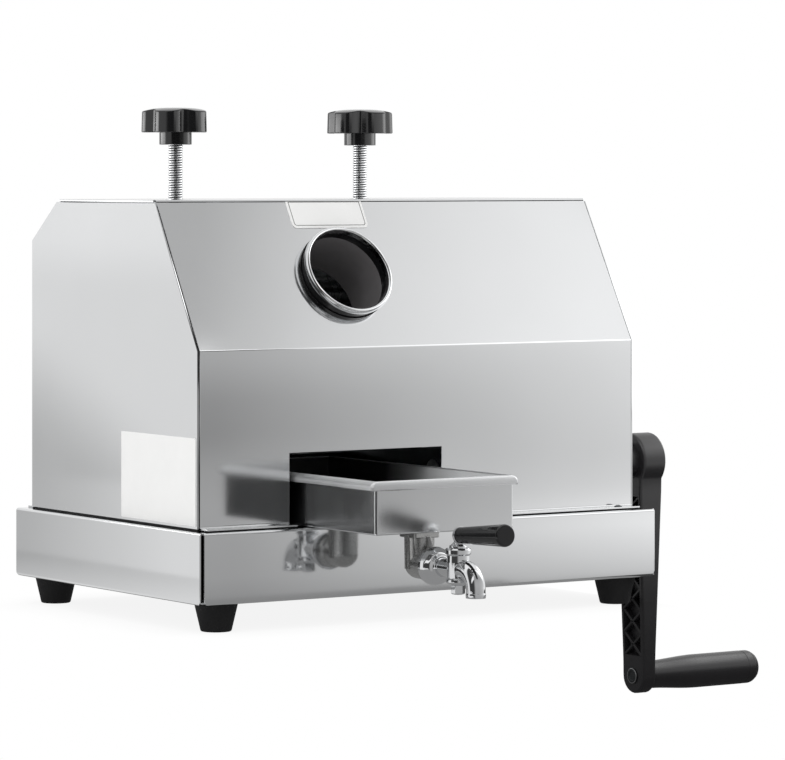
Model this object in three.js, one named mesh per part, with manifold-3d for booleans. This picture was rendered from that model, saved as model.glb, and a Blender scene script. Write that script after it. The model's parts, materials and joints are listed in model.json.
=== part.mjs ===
// Hand cranked sugarcane juicer: a sheet metal housing on a low base with four rubber feet.
// Inside, three fluted rollers in two frame plates are driven through gears by a side crank.
// Units are millimetres. +X is to the right, -Y is the front, +Z is up.
// The origin is the middle of the base, on the surface that the feet stand on.

import * as THREE from 'three';
import { mergeVertices } from 'three/addons/utils/BufferGeometryUtils.js';
import Module from 'manifold-3d';

const wasm = await Module();
wasm.setup();

// Round faces and clearances
const SIDES = 16;
const SMALL_SIDES = 12;
const GAP = 0.3;
const SEAT_GAP = 0.1;

// Sheet metal base, and how much of its deck shows round the housing
const SHEET = 1.5;
const DECK_SIDE = 10.5;
const DECK_FRONT = 24.5;
const DECK_REAR = 15.5;
const BASE_HEIGHT = 65;
const BASE_LIP = 55;

// Push-in rubber feet
const FOOT_HEIGHT = 26;
const FOOT_TOP_RADIUS = 20;
const FOOT_BOTTOM_RADIUS = 14;
const FOOT_INSET_X = 31;
const FOOT_INSET_Y = 26;
const FOOT_NECK_RADIUS = 5;
const FOOT_BULB_RADIUS = 7;
const FOOT_BULB_HEIGHT = 7;
const FOOT_HOLLOW_RADIUS = 6;
const FOOT_HOLLOW_DEPTH = 8;

// Housing, seen from the side
const HOUSING_LENGTH = 489;
const FRONT_Y = -150.5;
const REAR_Y = 159.5;
const FRONT_BEND_Z = 253;
const REAR_BEND_Z = 349;
const TOP_Z = 389;
const TOP_FRONT_Y = -72.5;
const TOP_REAR_Y = 107.5;
const FLANGE_WIDTH = 14;
const COVER_LIP = 2;
const COVER_SEAM = 0.8;
const PANEL_SEAM = 2;

// Housing screws
const SCREW_RADIUS = 2;
const SCREW_HEAD_RADIUS = 4;
const SCREW_HEAD_HEIGHT = 2.4;
const SCREW_LENGTH = 9;
const SCREW_INSET = 22.5;

// Frame that carries the rollers
const FRAME_CENTRE_X = -64;
const FRAME_SPACING = 208;
const FRAME_PLATE = 16;
const FRAME_FRONT_Y = -143;
const FRAME_REAR_Y = 112;
const FRAME_TOP_Z = 352;
const TENON_LENGTH = 24;
const TENON_DEPTH = 5;

// Rollers
const ROLLER_RADIUS = 40;
const ROLLER_CENTRES = 84;
const ROLLER_FLUTES = 18;
const ROLLER_FLUTE_DEPTH = 1.6;
const ROLLER_END_PLAY = 0.5;
const TOP_ROLLER_Y = 17.5;
const BOTTOM_ROLLER_OFFSET = 48;
const BOTTOM_ROLLER_Z = 213;
const JOURNAL_RADIUS = 12;
const JOURNAL_OVERHANG = 4;

// Flanged bronze bushes
const BUSH_WALL = 5;
const BUSH_FLANGE = 3;
const BUSH_FLANGE_RADIUS = 21;

// Sliding bronze blocks, bridges and pressure screws
const BLOCK_WIDTH = 56;
const BLOCK_BELOW_AXIS = 28;
const BLOCK_ABOVE_AXIS = 32;
const BLOCK_CHEEK = 3;
const BLOCK_CHEEK_OVERLAP = 6;
const BRIDGE_HEIGHT = 24;
const BRIDGE_WIDTH = 32;
const BRIDGE_BOLT_SPACING = 86;
const BRIDGE_BOLT_EDGE = 15;
const BRIDGE_BOLT_RADIUS = 5;
const BRIDGE_BOLT_HEAD_RADIUS = 8;
const BRIDGE_BOLT_HEAD_HEIGHT = 6.5;
const BRIDGE_BOLT_GRIP = 20;
const PRESSURE_SCREW_RADIUS = 7;
const PRESSURE_SCREW_TIP = 2;
const COVER_HOLE_RADIUS = 10;

// Star knobs
const KNOB_BOTTOM_Z = 440.5;
const KNOB_HUB_RADIUS = 15.5;
const KNOB_HUB_HEIGHT = 11.5;
const KNOB_RADIUS = 32.3;
const KNOB_LOBES = 5;
const KNOB_LOBE_DEPTH = 4.7;
const LEFT_KNOB_TURN = 5.4;
const RIGHT_KNOB_TURN = -15.2;
const KNOB_HEAD_HEIGHT = 20.5;
const KNOB_EDGE = 1.6;
const KNOB_DOME_HEIGHT = 3;
const KNOB_SOCKET_DEPTH = 20;

// Gear train
const ROLLER_GEAR_TEETH = 14;
const ROLLER_GEAR_WIDTH = 24;
const ROLLER_GEAR_THINNING = 1.6;
const DRIVE_TEETH = 64;
const PINION_TEETH = 16;
const DRIVE_MODULE = 3;
const DRIVE_WIDTH = 14;
const DRIVE_THINNING = 0.35;
const PRESSURE_ANGLE = THREE.MathUtils.degToRad(20);
const GEAR_HUB_RADIUS = 19;
const GEAR_HUB_LENGTH = 4;
const GEAR_TO_GEAR = 6;
const PINION_OVERHANG = 2;
const DRIVE_WEB_HOLES = 5;
const DRIVE_WEB_HOLE_RADIUS = 15;
const DRIVE_WEB_CIRCLE = 57;

// Gear plate and the crank's outer bearing
const GEAR_PLATE = 12;
const GEAR_PLATE_INNER_X = 112;
const PEDESTAL = 12;
const PEDESTAL_OUTER_GAP = 1.5;
const PEDESTAL_HALF_WIDTH = 25;

// Tie bars
const TIE_BAR_RADIUS = 8;
const TIE_BAR_END_RADIUS = 6;
const TIE_BAR_STAND_OUT = 4;

// Crank
const CRANK_Z = 134;
const CRANK_SHAFT_RADIUS = 10;
const CRANK_STAND_OFF = 20;
const CRANK_RADIUS = 210;
const CRANK_HUB_RADIUS = 26.5;
const CRANK_HUB_THICKNESS = 26.5;
const CRANK_BOSS_RADIUS = 17;
const CRANK_BOSS_LENGTH = 11;
const CRANK_END_THICKNESS = 15.5;
const CRANK_END_RADIUS = 17;
const CRANK_NECK_HALF_WIDTH = 20;
const CRANK_WALL = 4.5;
const CRANK_WEB = 4;
const CRANK_POCKETS = 7;
const CRANK_BOLT_RADIUS = 4;
const CRANK_BOLT_HEAD_RADIUS = 8;
const CRANK_BOLT_HEAD_HEIGHT = 6;
const CRANK_BOLT_DEPTH = 14;

// Crank grip
const GRIP_LENGTH = 131;
const GRIP_ROOT_RADIUS = 13.3;
const GRIP_RADIUS = 16.3;
const GRIP_PIN_RADIUS = 5;
const GRIP_PIN_HEAD_RADIUS = 7.5;
const GRIP_PIN_HEAD_HEIGHT = 1.5;
const GRIP_PIN_END_WALL = 16;

// Feed ring on the sloping front, and the chute behind it
const RING_SIDES = 32;
const RING_UP_SLOPE = 75;
const RING_BORE = 41.5;
const RING_SLEEVE_RADIUS = 44.3;
const RING_BEAD_RADIUS = 45.6;
const RING_STAND_OUT = 14;
const RING_BEAD_WIDTH = 5;
const CHUTE_FLANGE_RADIUS = 56;
const CHUTE_LENGTH = 56;

// Sheets under and behind the rollers
const TURN_PLATE_CLEARANCE = 4.5;
const TURN_PLATE_HALF_ANGLE = THREE.MathUtils.degToRad(14);
const TURN_PLATE_STEM = 11;
const TURN_PLATE_BOTTOM_Z = 176;
const GUIDE_FRONT_Y = 20;
const GUIDE_FRONT_Z = 148;
const GUIDE_REAR_Z = 176;
const GUIDE_WALL_HEIGHT = 12;
const RESIDUE_WIDTH = 164;
const RESIDUE_FRONT_Y = 99;
const RESIDUE_FRONT_Z = 245;
const RESIDUE_LIP_Y = 174;
const RESIDUE_LIP_Z = 228;
const RESIDUE_WALL_HEIGHT = 30;
const RESIDUE_OPENING_TOP_Z = 318;

// Juice tray and the slot it slides in
const TRAY_CENTRE_X = -62.5;
const TRAY_WIDTH = 150;
const TRAY_FRONT_Y = -280;
const TRAY_LENGTH = 310;
const TRAY_RIM_Z = 139.5;
const TRAY_RIM_SIDE = 5.5;
const TRAY_RIM_FRONT = 1.5;
const TRAY_RIM_HEIGHT = 8.5;
const TRAY_SLOT_SIDE_GAP = 3.5;
const TRAY_SLOT_TOP_Z = 158;

// Outlet, elbow and tap
const OUTLET_Y = -238;
const OUTLET_STUB_RADIUS = 10;
const OUTLET_STUB_LENGTH = 12;
const OUTLET_BORE = 7.5;
const ELBOW_RADIUS = 14;
const ELBOW_COLLAR_RADIUS = 15.3;
const ELBOW_COLLAR_LENGTH = 6;
const TAP_Z = 59.5;
const ELBOW_FRONT_Y = -261;
const TAP_FLANGE_RADIUS = 17.5;
const TAP_FLANGE_NECK_RADIUS = 10.5;
const TAP_FLANGE_THICKNESS = 3.5;
const TAP_FLANGE_LENGTH = 13;
const TAP_TAIL_RADIUS = 8.5;
const TAP_TAIL_ENGAGED = 12;
const TAP_Y = -300;
const TAP_BARREL_RADIUS = 12;
const TAP_BARREL_BOTTOM_Z = 46.5;
const TAP_BARREL_TOP_Z = 78.5;
const TAP_PLUG_RADIUS = 6.5;
const TAP_PLUG_PORT_RADIUS = 4.5;
const SPOUT_RADIUS = 9.2;
const SPOUT_BORE = 7;
const SPOUT_BEND = 20;
const SPOUT_REACH = 27.6;
const SPOUT_END_Z = 36;
const SPOUT_STEPS = 10;

// Tap lever
const LEVER_CAP_RADIUS = 8;
const LEVER_CAP_HEIGHT = 3;
const LEVER_STEM_RADIUS = 3.4;
const LEVER_Z = 89.8;
const LEVER_TILT = THREE.MathUtils.degToRad(4);
const LEVER_GRIP_START = 5;
const LEVER_GRIP_LENGTH = 70;
const LEVER_GRIP_ROOT_RADIUS = 7.3;
const LEVER_GRIP_END_RADIUS = 10.1;
const LEVER_FERRULE_RADIUS = 8;
const LEVER_FERRULE_LENGTH = 3;
const LEVER_TANG_LENGTH = 40;
const LEVER_TANG_RADIUS = 2.5;
const LEVER_NUT_RADIUS = 6.5;
const LEVER_NUT_HEIGHT = 9;

// Bare label plates
const LABEL_THICKNESS = 0.5;
const SIDE_LABEL_WIDTH = 134;
const SIDE_LABEL_HEIGHT = 79.5;
const SIDE_LABEL_FRONT_INSET = 2.5;
const SIDE_LABEL_BOTTOM_INSET = 4;
const FRONT_LABEL_WIDTH = 84.5;
const FRONT_LABEL_HEIGHT = 28.3;
const FRONT_LABEL_CENTRE_X = -61.2;
const LABEL_CORNER = 5;

// Places worked out from the sizes above
const DECK_Z = FOOT_HEIGHT + BASE_HEIGHT;
const HOUSING_HALF = HOUSING_LENGTH / 2;
const BASE_HALF = HOUSING_HALF + DECK_SIDE;
const BASE_FRONT_Y = FRONT_Y - DECK_FRONT;
const BASE_REAR_Y = REAR_Y + DECK_REAR;
const CRANK_ARM_X = BASE_HALF + CRANK_STAND_OFF;
const PANEL_HALF = HOUSING_HALF - SHEET - PANEL_SEAM;
const FRAME_HALF = FRAME_SPACING / 2;
const LEFT_PLATE_X = FRAME_CENTRE_X - FRAME_HALF;
const RIGHT_PLATE_X = FRAME_CENTRE_X + FRAME_HALF;
const CLEAR_BETWEEN_PLATES = FRAME_SPACING - FRAME_PLATE;
const ROLLER_RISE = Math.sqrt(ROLLER_CENTRES ** 2 - BOTTOM_ROLLER_OFFSET ** 2);
const TOP_ROLLER_Z = BOTTOM_ROLLER_Z + ROLLER_RISE;
const FRONT_ROLLER_Y = TOP_ROLLER_Y - BOTTOM_ROLLER_OFFSET;
const REAR_ROLLER_Y = TOP_ROLLER_Y + BOTTOM_ROLLER_OFFSET;
const BUSH_RADIUS = JOURNAL_RADIUS + BUSH_WALL;
const GEAR_CENTRES = DRIVE_MODULE * (DRIVE_TEETH + PINION_TEETH) / 2;
const CRANK_Y = FRONT_ROLLER_Y - Math.sqrt(GEAR_CENTRES ** 2 - (BOTTOM_ROLLER_Z - CRANK_Z) ** 2);
const ROLLER_GEAR_MODULE = ROLLER_CENTRES / ROLLER_GEAR_TEETH;
const PLATE_OUTER_X = RIGHT_PLATE_X + FRAME_PLATE / 2;
const ROLLER_GEAR_X = PLATE_OUTER_X + GAP + BLOCK_CHEEK + GAP + GEAR_HUB_LENGTH;
const DRIVE_GEAR_X = ROLLER_GEAR_X + ROLLER_GEAR_WIDTH + GEAR_TO_GEAR;
const GEAR_PLATE_OUTER_X = GEAR_PLATE_INNER_X + GEAR_PLATE;
const PEDESTAL_OUTER_X = HOUSING_HALF - FLANGE_WIDTH - PEDESTAL_OUTER_GAP;
const PEDESTAL_INNER_X = PEDESTAL_OUTER_X - PEDESTAL;
const BLOCK_TOP_Z = TOP_ROLLER_Z + BLOCK_ABOVE_AXIS;
const BRIDGE_TOP_Z = FRAME_TOP_Z + BRIDGE_HEIGHT;
const SLOPE_LENGTH = Math.hypot(TOP_FRONT_Y - FRONT_Y, TOP_Z - FRONT_BEND_Z);
const SLOPE_TILT = Math.atan2(TOP_Z - FRONT_BEND_Z, TOP_FRONT_Y - FRONT_Y);
const FRONT_SLOPE = [(TOP_FRONT_Y - FRONT_Y) / SLOPE_LENGTH, (TOP_Z - FRONT_BEND_Z) / SLOPE_LENGTH];
const REAR_SLOPE_LENGTH = Math.hypot(REAR_Y - TOP_REAR_Y, TOP_Z - REAR_BEND_Z);
const REAR_SLOPE = [(REAR_Y - TOP_REAR_Y) / REAR_SLOPE_LENGTH, (REAR_BEND_Z - TOP_Z) / REAR_SLOPE_LENGTH];
const TRAY_BOTTOM_Z = DECK_Z + GAP;
const TRAY_SLOT_HALF = TRAY_WIDTH / 2 + TRAY_RIM_SIDE + TRAY_SLOT_SIDE_GAP;
const PIN_TIP = CRANK_END_THICKNESS / 2 + GAP + GRIP_LENGTH - GRIP_PIN_END_WALL;

// Places of the feet, tenons, tie bars and the front screw
const CORNERS = {
  front_left: [-1, -1],
  front_right: [1, -1],
  rear_left: [-1, 1],
  rear_right: [1, 1],
};
const FRAME_TENON_YS = [FRAME_FRONT_Y + TENON_LENGTH, FRAME_REAR_Y - TENON_LENGTH];
const GEAR_PLATE_FRONT_Y = FRAME_FRONT_Y;
const GEAR_PLATE_REAR_Y = FRONT_ROLLER_Y + 36;
const GEAR_PLATE_TENON_YS = [GEAR_PLATE_FRONT_Y + TENON_LENGTH, GEAR_PLATE_REAR_Y - TENON_LENGTH];
const FRONT_TIE_BAR_PLACE = [FRONT_ROLLER_Y - 31.5, BOTTOM_ROLLER_Z - 53];
const REAR_TIE_BAR_PLACE = [REAR_ROLLER_Y + 18.5, FRAME_TOP_Z - 34];
const SCREW_PLACE = [HOUSING_HALF - SCREW_INSET, FRONT_Y - FLANGE_WIDTH / 2];

// Materials
const finish = (color, metalness, roughness) => (
  new THREE.MeshStandardMaterial({ color, metalness, roughness })
);
const stainless = finish('#c9cacb', 1, 0.22);
const satinSteel = finish('#a7a9ab', 1, 0.4);
const darkSteel = finish('#77797c', 1, 0.5);
const frameSteel = finish('#8a8d90', 1, 0.55);
const bronze = finish('#a9824b', 1, 0.4);
const chrome = finish('#d6d7d8', 1, 0.08);
const castSteel = finish('#9c9d9e', 1, 0.45);
const rubber = finish('#232323', 0, 0.8);
const blackPlastic = finish('#2a2a2b', 0, 0.45);
const gripPlastic = finish('#303031', 0, 0.55);
const labelPaper = finish('#eeeeec', 0, 0.6);

// A skin with shared corners, no collapsed faces, and its faces pointing out
function closeSkin(geometry) {
  const bare = new THREE.BufferGeometry();
  bare.setAttribute('position', geometry.getAttribute('position').clone());
  if (geometry.index) bare.setIndex(geometry.index.clone());
  const skin = mergeVertices(bare, 1e-4);
  const corner = skin.getAttribute('position');
  const a = new THREE.Vector3();
  const b = new THREE.Vector3();
  const c = new THREE.Vector3();
  const faces = [];
  let volume = 0;
  for (let i = 0; i < skin.index.count; i += 3) {
    const face = [skin.index.getX(i), skin.index.getX(i + 1), skin.index.getX(i + 2)];
    if (new Set(face).size < 3) continue;
    a.fromBufferAttribute(corner, face[0]);
    b.fromBufferAttribute(corner, face[1]);
    c.fromBufferAttribute(corner, face[2]);
    volume += a.dot(b.cross(c));
    faces.push(face);
  }
  const turned = volume < 0 ? faces.map(([p, q, r]) => [p, r, q]) : faces;
  skin.setIndex(turned.flat());
  return skin;
}

function toSolid(geometry) {
  const skin = closeSkin(geometry);
  return new wasm.Manifold(new wasm.Mesh({
    numProp: 3,
    vertProperties: new Float32Array(skin.getAttribute('position').array),
    triVerts: new Uint32Array(skin.index.array),
  }));
}

function toGeometry(solid) {
  const mesh = solid.getMesh();
  const geometry = new THREE.BufferGeometry();
  geometry.setAttribute('position', new THREE.BufferAttribute(mesh.vertProperties, 3));
  geometry.setIndex(new THREE.BufferAttribute(mesh.triVerts, 1));
  geometry.computeVertexNormals();
  return geometry;
}

const join = (first, ...others) => toGeometry(
  others.reduce((solid, other) => solid.add(toSolid(other)), toSolid(first)),
);
const cut = (first, ...tools) => toGeometry(
  tools.reduce((solid, tool) => solid.subtract(toSolid(tool)), toSolid(first)),
);
const common = (first, second) => toGeometry(toSolid(first).intersect(toSolid(second)));

// The corner radius of a round hole whose flats keep the clearance to a rod of this radius
const holeFor = (radius, clearance = GAP, sides = SIDES) => (
  (radius + clearance) / Math.cos(Math.PI / sides)
);

function boxBetween([x0, y0, z0], [x1, y1, z1]) {
  const box = new THREE.BoxGeometry(x1 - x0, y1 - y0, z1 - z0);
  return box.translate((x0 + x1) / 2, (y0 + y1) / 2, (z0 + z1) / 2);
}

function rodX(radius, from, to, [y, z] = [0, 0], sides = SIDES) {
  const rod = new THREE.CylinderGeometry(radius, radius, to - from, sides);
  return rod.rotateZ(-Math.PI / 2).translate((from + to) / 2, y, z);
}

function rodY(radius, from, to, [x, z] = [0, 0], sides = SIDES) {
  const rod = new THREE.CylinderGeometry(radius, radius, to - from, sides);
  return rod.translate(x, (from + to) / 2, z);
}

function rodZ(radius, from, to, [x, y] = [0, 0], sides = SIDES) {
  const rod = new THREE.CylinderGeometry(radius, radius, to - from, sides);
  return rod.rotateX(Math.PI / 2).translate(x, y, (from + to) / 2);
}

// Holes for bolts, screws and pins
const smallHoleX = (radius, from, to, place, clearance = GAP) => (
  rodX(holeFor(radius, clearance, SMALL_SIDES), from, to, place, SMALL_SIDES)
);
const smallHoleZ = (radius, from, to, place, clearance = GAP) => (
  rodZ(holeFor(radius, clearance, SMALL_SIDES), from, to, place, SMALL_SIDES)
);

// A turned solid about Z from [radius, height] points
function turnedZ(profile, sides = SIDES) {
  const points = profile.map(([radius, height]) => new THREE.Vector2(radius, height));
  return closeSkin(new THREE.LatheGeometry(points, sides).rotateX(Math.PI / 2));
}

// A turned solid about X from [radius, distance] points
const turnedX = (profile, sides = SIDES) => turnedZ(profile, sides).rotateY(Math.PI / 2);

// A turned solid about Y whose distances run towards the front
const turnedForward = (profile, sides = SIDES) => turnedZ(profile, sides).rotateX(Math.PI / 2);

// The same ring profile, closed on itself
const ringProfile = (points) => [...points, points[0]];

// A flat outline in Y and Z, drawn out along X
function drawnAlongX(outline, from, to) {
  const shape = new THREE.Shape(outline.map(([y, z]) => new THREE.Vector2(y, z)));
  const geometry = new THREE.ExtrudeGeometry(shape, { depth: to - from, bevelEnabled: false });
  const turn = new THREE.Matrix4().makeBasis(
    new THREE.Vector3(0, 1, 0),
    new THREE.Vector3(0, 0, 1),
    new THREE.Vector3(1, 0, 0),
  );
  return geometry.applyMatrix4(turn).translate(from, 0, 0);
}

// The line a given distance to the right of a bent line, with mitred corners
function offsetLine(points, distance) {
  const unit = (p, q) => {
    const length = Math.hypot(q[0] - p[0], q[1] - p[1]);
    return [(q[0] - p[0]) / length, (q[1] - p[1]) / length];
  };
  return points.map((point, i) => {
    const before = i > 0 ? unit(points[i - 1], point) : unit(point, points[i + 1]);
    const after = i < points.length - 1 ? unit(point, points[i + 1]) : before;
    const mitre = [before[1] + after[1], -before[0] - after[0]];
    const scale = distance / (1 + before[0] * after[0] + before[1] * after[1]);
    return [point[0] + mitre[0] * scale, point[1] + mitre[1] * scale];
  });
}

// A bent sheet whose metal lies to the right of its line, or to the left of it
const bentSheet = (line, from, to, side = 1) => closeSkin(
  drawnAlongX([...line, ...offsetLine(line, side * SHEET).reverse()], from, to),
);

// Points of an arc in a plane, from one angle to another
const arc = ([u, v], radius, from, to, steps) => Array.from({ length: steps + 1 }, (_, i) => {
  const angle = from + ((to - from) * i) / steps;
  return [u + radius * Math.cos(angle), v + radius * Math.sin(angle)];
});

const piece = (name, geometry, material) => {
  const mesh = new THREE.Mesh(geometry, material);
  mesh.name = name;
  return mesh;
};

const placed = (object, x, y, z) => {
  object.position.set(x, y, z);
  return object;
};

const groupAt = (x, y, z, ...children) => {
  const group = placed(new THREE.Group(), x, y, z);
  group.add(...children);
  return group;
};

// The tongues under an upright plate, or the deck slots that they drop through
function tenons([from, to], ys, clearance = 0) {
  const half = TENON_LENGTH / 2 + clearance;
  return ys.map((y) => boxBetween(
    [from - clearance, y - half, DECK_Z - TENON_DEPTH],
    [to + clearance, y + half, DECK_Z + 1],
  ));
}

// Base

const footCentre = ([sideX, sideY]) => [
  sideX * (BASE_HALF - FOOT_INSET_X),
  sideY < 0 ? BASE_FRONT_Y + FOOT_INSET_Y : BASE_REAR_Y - FOOT_INSET_Y,
];

// A box between two heights, set in from the four sides of the base
const insetBox = (inset, low, high) => boxBetween(
  [-BASE_HALF + inset, BASE_FRONT_Y + inset, low],
  [BASE_HALF - inset, BASE_REAR_Y - inset, high],
);

function basePan() {
  const shell = insetBox(0, FOOT_HEIGHT, DECK_Z);
  const inside = insetBox(SHEET, FOOT_HEIGHT + SHEET, DECK_Z - SHEET);
  const window = insetBox(BASE_LIP, FOOT_HEIGHT - SHEET, FOOT_HEIGHT + 2 * SHEET);
  const plateX = (middle) => [middle - FRAME_PLATE / 2, middle + FRAME_PLATE / 2];
  return cut(
    shell,
    inside,
    window,
    smallHoleZ(SCREW_RADIUS, DECK_Z - 2 * SHEET, DECK_Z + SHEET, SCREW_PLACE),
    ...tenons(plateX(LEFT_PLATE_X), FRAME_TENON_YS, GAP),
    ...tenons(plateX(RIGHT_PLATE_X), FRAME_TENON_YS, GAP),
    ...tenons([GEAR_PLATE_INNER_X, GEAR_PLATE_OUTER_X], GEAR_PLATE_TENON_YS, GAP),
    ...tenons([PEDESTAL_INNER_X, PEDESTAL_OUTER_X], [CRANK_Y], GAP),
    ...footHoles(FOOT_HEIGHT),
  );
}

function baseBottomPlate() {
  const low = FOOT_HEIGHT + SHEET;
  return cut(insetBox(SHEET + GAP, low, low + SHEET), ...footHoles(low));
}

// Holes for the feet in a sheet whose underside is at the height given
const footHoles = (low) => Object.values(CORNERS).map((sides) => (
  smallHoleZ(FOOT_NECK_RADIUS, low - SHEET, low + 2 * SHEET, footCentre(sides))
));

// The neck goes up through both sheets, and the bulb above them keeps the foot in
function foot() {
  const bulbLow = FOOT_HEIGHT + 2 * SHEET + GAP;
  return turnedZ([
    [0, FOOT_HOLLOW_DEPTH],
    [FOOT_HOLLOW_RADIUS, FOOT_HOLLOW_DEPTH],
    [FOOT_HOLLOW_RADIUS, 0],
    [FOOT_BOTTOM_RADIUS, 0],
    [FOOT_TOP_RADIUS, FOOT_HEIGHT],
    [FOOT_NECK_RADIUS, FOOT_HEIGHT],
    [FOOT_NECK_RADIUS, bulbLow],
    [FOOT_BULB_RADIUS, bulbLow],
    [FOOT_NECK_RADIUS, bulbLow + FOOT_BULB_HEIGHT],
    [0, bulbLow + FOOT_BULB_HEIGHT],
  ]);
}

// Housing

const upFrontSlope = (distance) => [
  FRONT_Y + FRONT_SLOPE[0] * distance,
  FRONT_BEND_Z + FRONT_SLOPE[1] * distance,
];

const downRearSlope = (distance) => [
  TOP_REAR_Y + REAR_SLOPE[0] * distance,
  TOP_Z + REAR_SLOPE[1] * distance,
];

function sidePanel(side) {
  const below = COVER_LIP + COVER_SEAM;
  const outline = [
    [FRONT_Y, DECK_Z],
    [REAR_Y, DECK_Z],
    [REAR_Y, REAR_BEND_Z],
    downRearSlope(below / -REAR_SLOPE[1]),
    upFrontSlope(SLOPE_LENGTH - below / FRONT_SLOPE[1]),
    [FRONT_Y, FRONT_BEND_Z],
  ];
  const outer = side * HOUSING_HALF;
  const inner = side * (HOUSING_HALF - SHEET);
  const toe = side * (HOUSING_HALF - FLANGE_WIDTH);
  const sheet = drawnAlongX(outline, Math.min(outer, inner), Math.max(outer, inner));
  const flange = boxBetween(
    [Math.min(outer, toe), FRONT_Y + 2 * SHEET, DECK_Z],
    [Math.max(outer, toe), REAR_Y - 2 * SHEET, DECK_Z + SHEET],
  );
  const panel = join(sheet, flange);
  if (side < 0) return panel;
  const shaftHole = rodX(CRANK_SHAFT_RADIUS + 3, inner - SHEET, outer + SHEET, [CRANK_Y, CRANK_Z]);
  return cut(panel, shaftHole);
}

// The frame of the sloping front: its Z points straight out of the panel, above the ring's centre
function onFrontSlope(x, distance, ...children) {
  const [y, z] = upFrontSlope(distance);
  const group = groupAt(x, y, z, ...children);
  group.rotation.x = SLOPE_TILT;
  return group;
}

function frontPanel() {
  const sheet = bentSheet([
    [FRONT_Y - FLANGE_WIDTH, DECK_Z + SHEET],
    [FRONT_Y, DECK_Z + SHEET],
    [FRONT_Y, FRONT_BEND_Z],
    upFrontSlope(SLOPE_LENGTH - COVER_LIP - COVER_SEAM),
  ], -PANEL_HALF, PANEL_HALF);
  const slot = boxBetween(
    [TRAY_CENTRE_X - TRAY_SLOT_HALF, FRONT_Y - 2 * FLANGE_WIDTH, DECK_Z - SHEET],
    [TRAY_CENTRE_X + TRAY_SLOT_HALF, FRONT_Y + 2 * SHEET, TRAY_SLOT_TOP_Z],
  );
  const [ringY, ringZ] = upFrontSlope(RING_UP_SLOPE);
  const ringRadius = holeFor(RING_SLEEVE_RADIUS, GAP, RING_SIDES);
  const ringHole = rodZ(ringRadius, -4 * SHEET, 4 * SHEET, [0, 0], RING_SIDES)
    .rotateX(SLOPE_TILT)
    .translate(FRAME_CENTRE_X, ringY, ringZ);
  const screwHole = smallHoleZ(SCREW_RADIUS, DECK_Z - SHEET, DECK_Z + 3 * SHEET, SCREW_PLACE);
  return cut(sheet, slot, ringHole, screwHole);
}

function rearPanel() {
  const sheet = bentSheet([
    [REAR_Y + FLANGE_WIDTH, DECK_Z + SHEET],
    [REAR_Y, DECK_Z + SHEET],
    [REAR_Y, REAR_BEND_Z],
    downRearSlope(COVER_LIP + COVER_SEAM),
  ], -PANEL_HALF, PANEL_HALF, -1);
  const half = RESIDUE_WIDTH / 2 + GAP;
  const opening = boxBetween(
    [FRAME_CENTRE_X - half, REAR_Y - 2 * SHEET, residueFloor(REAR_Y) - SHEET - 1],
    [FRAME_CENTRE_X + half, REAR_Y + SHEET, RESIDUE_OPENING_TOP_Z],
  );
  return cut(sheet, opening);
}

function topCover() {
  const sheet = bentSheet([
    upFrontSlope(SLOPE_LENGTH - COVER_LIP),
    [TOP_FRONT_Y, TOP_Z],
    [TOP_REAR_Y, TOP_Z],
    downRearSlope(COVER_LIP),
  ], -HOUSING_HALF, HOUSING_HALF);
  const lip = (side) => boxBetween(
    [Math.min(side * HOUSING_HALF, side * (HOUSING_HALF - SHEET)), TOP_FRONT_Y, TOP_Z - COVER_LIP],
    [Math.max(side * HOUSING_HALF, side * (HOUSING_HALF - SHEET)), TOP_REAR_Y, TOP_Z - SHEET / 2],
  );
  const holes = [LEFT_PLATE_X, RIGHT_PLATE_X].map((x) => (
    rodZ(COVER_HOLE_RADIUS, TOP_Z - 2 * SHEET, TOP_Z + SHEET, [x, TOP_ROLLER_Y])
  ));
  return cut(join(sheet, lip(-1), lip(1)), ...holes);
}

// The screw that holds the front panel's flange, measured from the flange's top
const panelScrew = () => turnedZ([
  [0, SEAT_GAP - SCREW_LENGTH],
  [SCREW_RADIUS, SEAT_GAP - SCREW_LENGTH],
  [SCREW_RADIUS, SEAT_GAP],
  [SCREW_HEAD_RADIUS, SEAT_GAP],
  [SCREW_HEAD_RADIUS * 0.8, SCREW_HEAD_HEIGHT * 0.7],
  [0, SCREW_HEAD_HEIGHT],
], SMALL_SIDES);

// Feed ring and chute

function feedRing() {
  const beadLow = RING_STAND_OUT - RING_BEAD_WIDTH;
  const round = (RING_BEAD_RADIUS - RING_BORE) / 2;
  const bead = arc([RING_BORE + round, RING_STAND_OUT - round], round, 0, Math.PI, 4);
  return turnedZ(ringProfile([
    [RING_BORE, -SHEET],
    [RING_SLEEVE_RADIUS, -SHEET],
    [RING_SLEEVE_RADIUS, beadLow],
    ...bead,
  ]), RING_SIDES);
}

function feedChute() {
  const front = -SHEET - GAP;
  return turnedZ(ringProfile([
    [RING_BORE, front],
    [CHUTE_FLANGE_RADIUS, front],
    [CHUTE_FLANGE_RADIUS, front - SHEET],
    [RING_BORE + SHEET, front - SHEET],
    [RING_BORE + SHEET, front - CHUTE_LENGTH],
    [RING_BORE, front - CHUTE_LENGTH],
  ]));
}

// Bare label plates

const roundedPlate = (width, height, corner) => {
  const quarter = Math.PI / 2;
  const [u, v] = [width / 2 - corner, height / 2 - corner];
  const outline = [
    ...arc([u, v], corner, 0, quarter, 3),
    ...arc([-u, v], corner, quarter, 2 * quarter, 3),
    ...arc([-u, -v], corner, 2 * quarter, 3 * quarter, 3),
    ...arc([u, -v], corner, 3 * quarter, 4 * quarter, 3),
  ];
  const shape = new THREE.Shape(outline.map(([x, y]) => new THREE.Vector2(x, y)));
  return new THREE.ExtrudeGeometry(shape, { depth: LABEL_THICKNESS, bevelEnabled: false });
};

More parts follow.
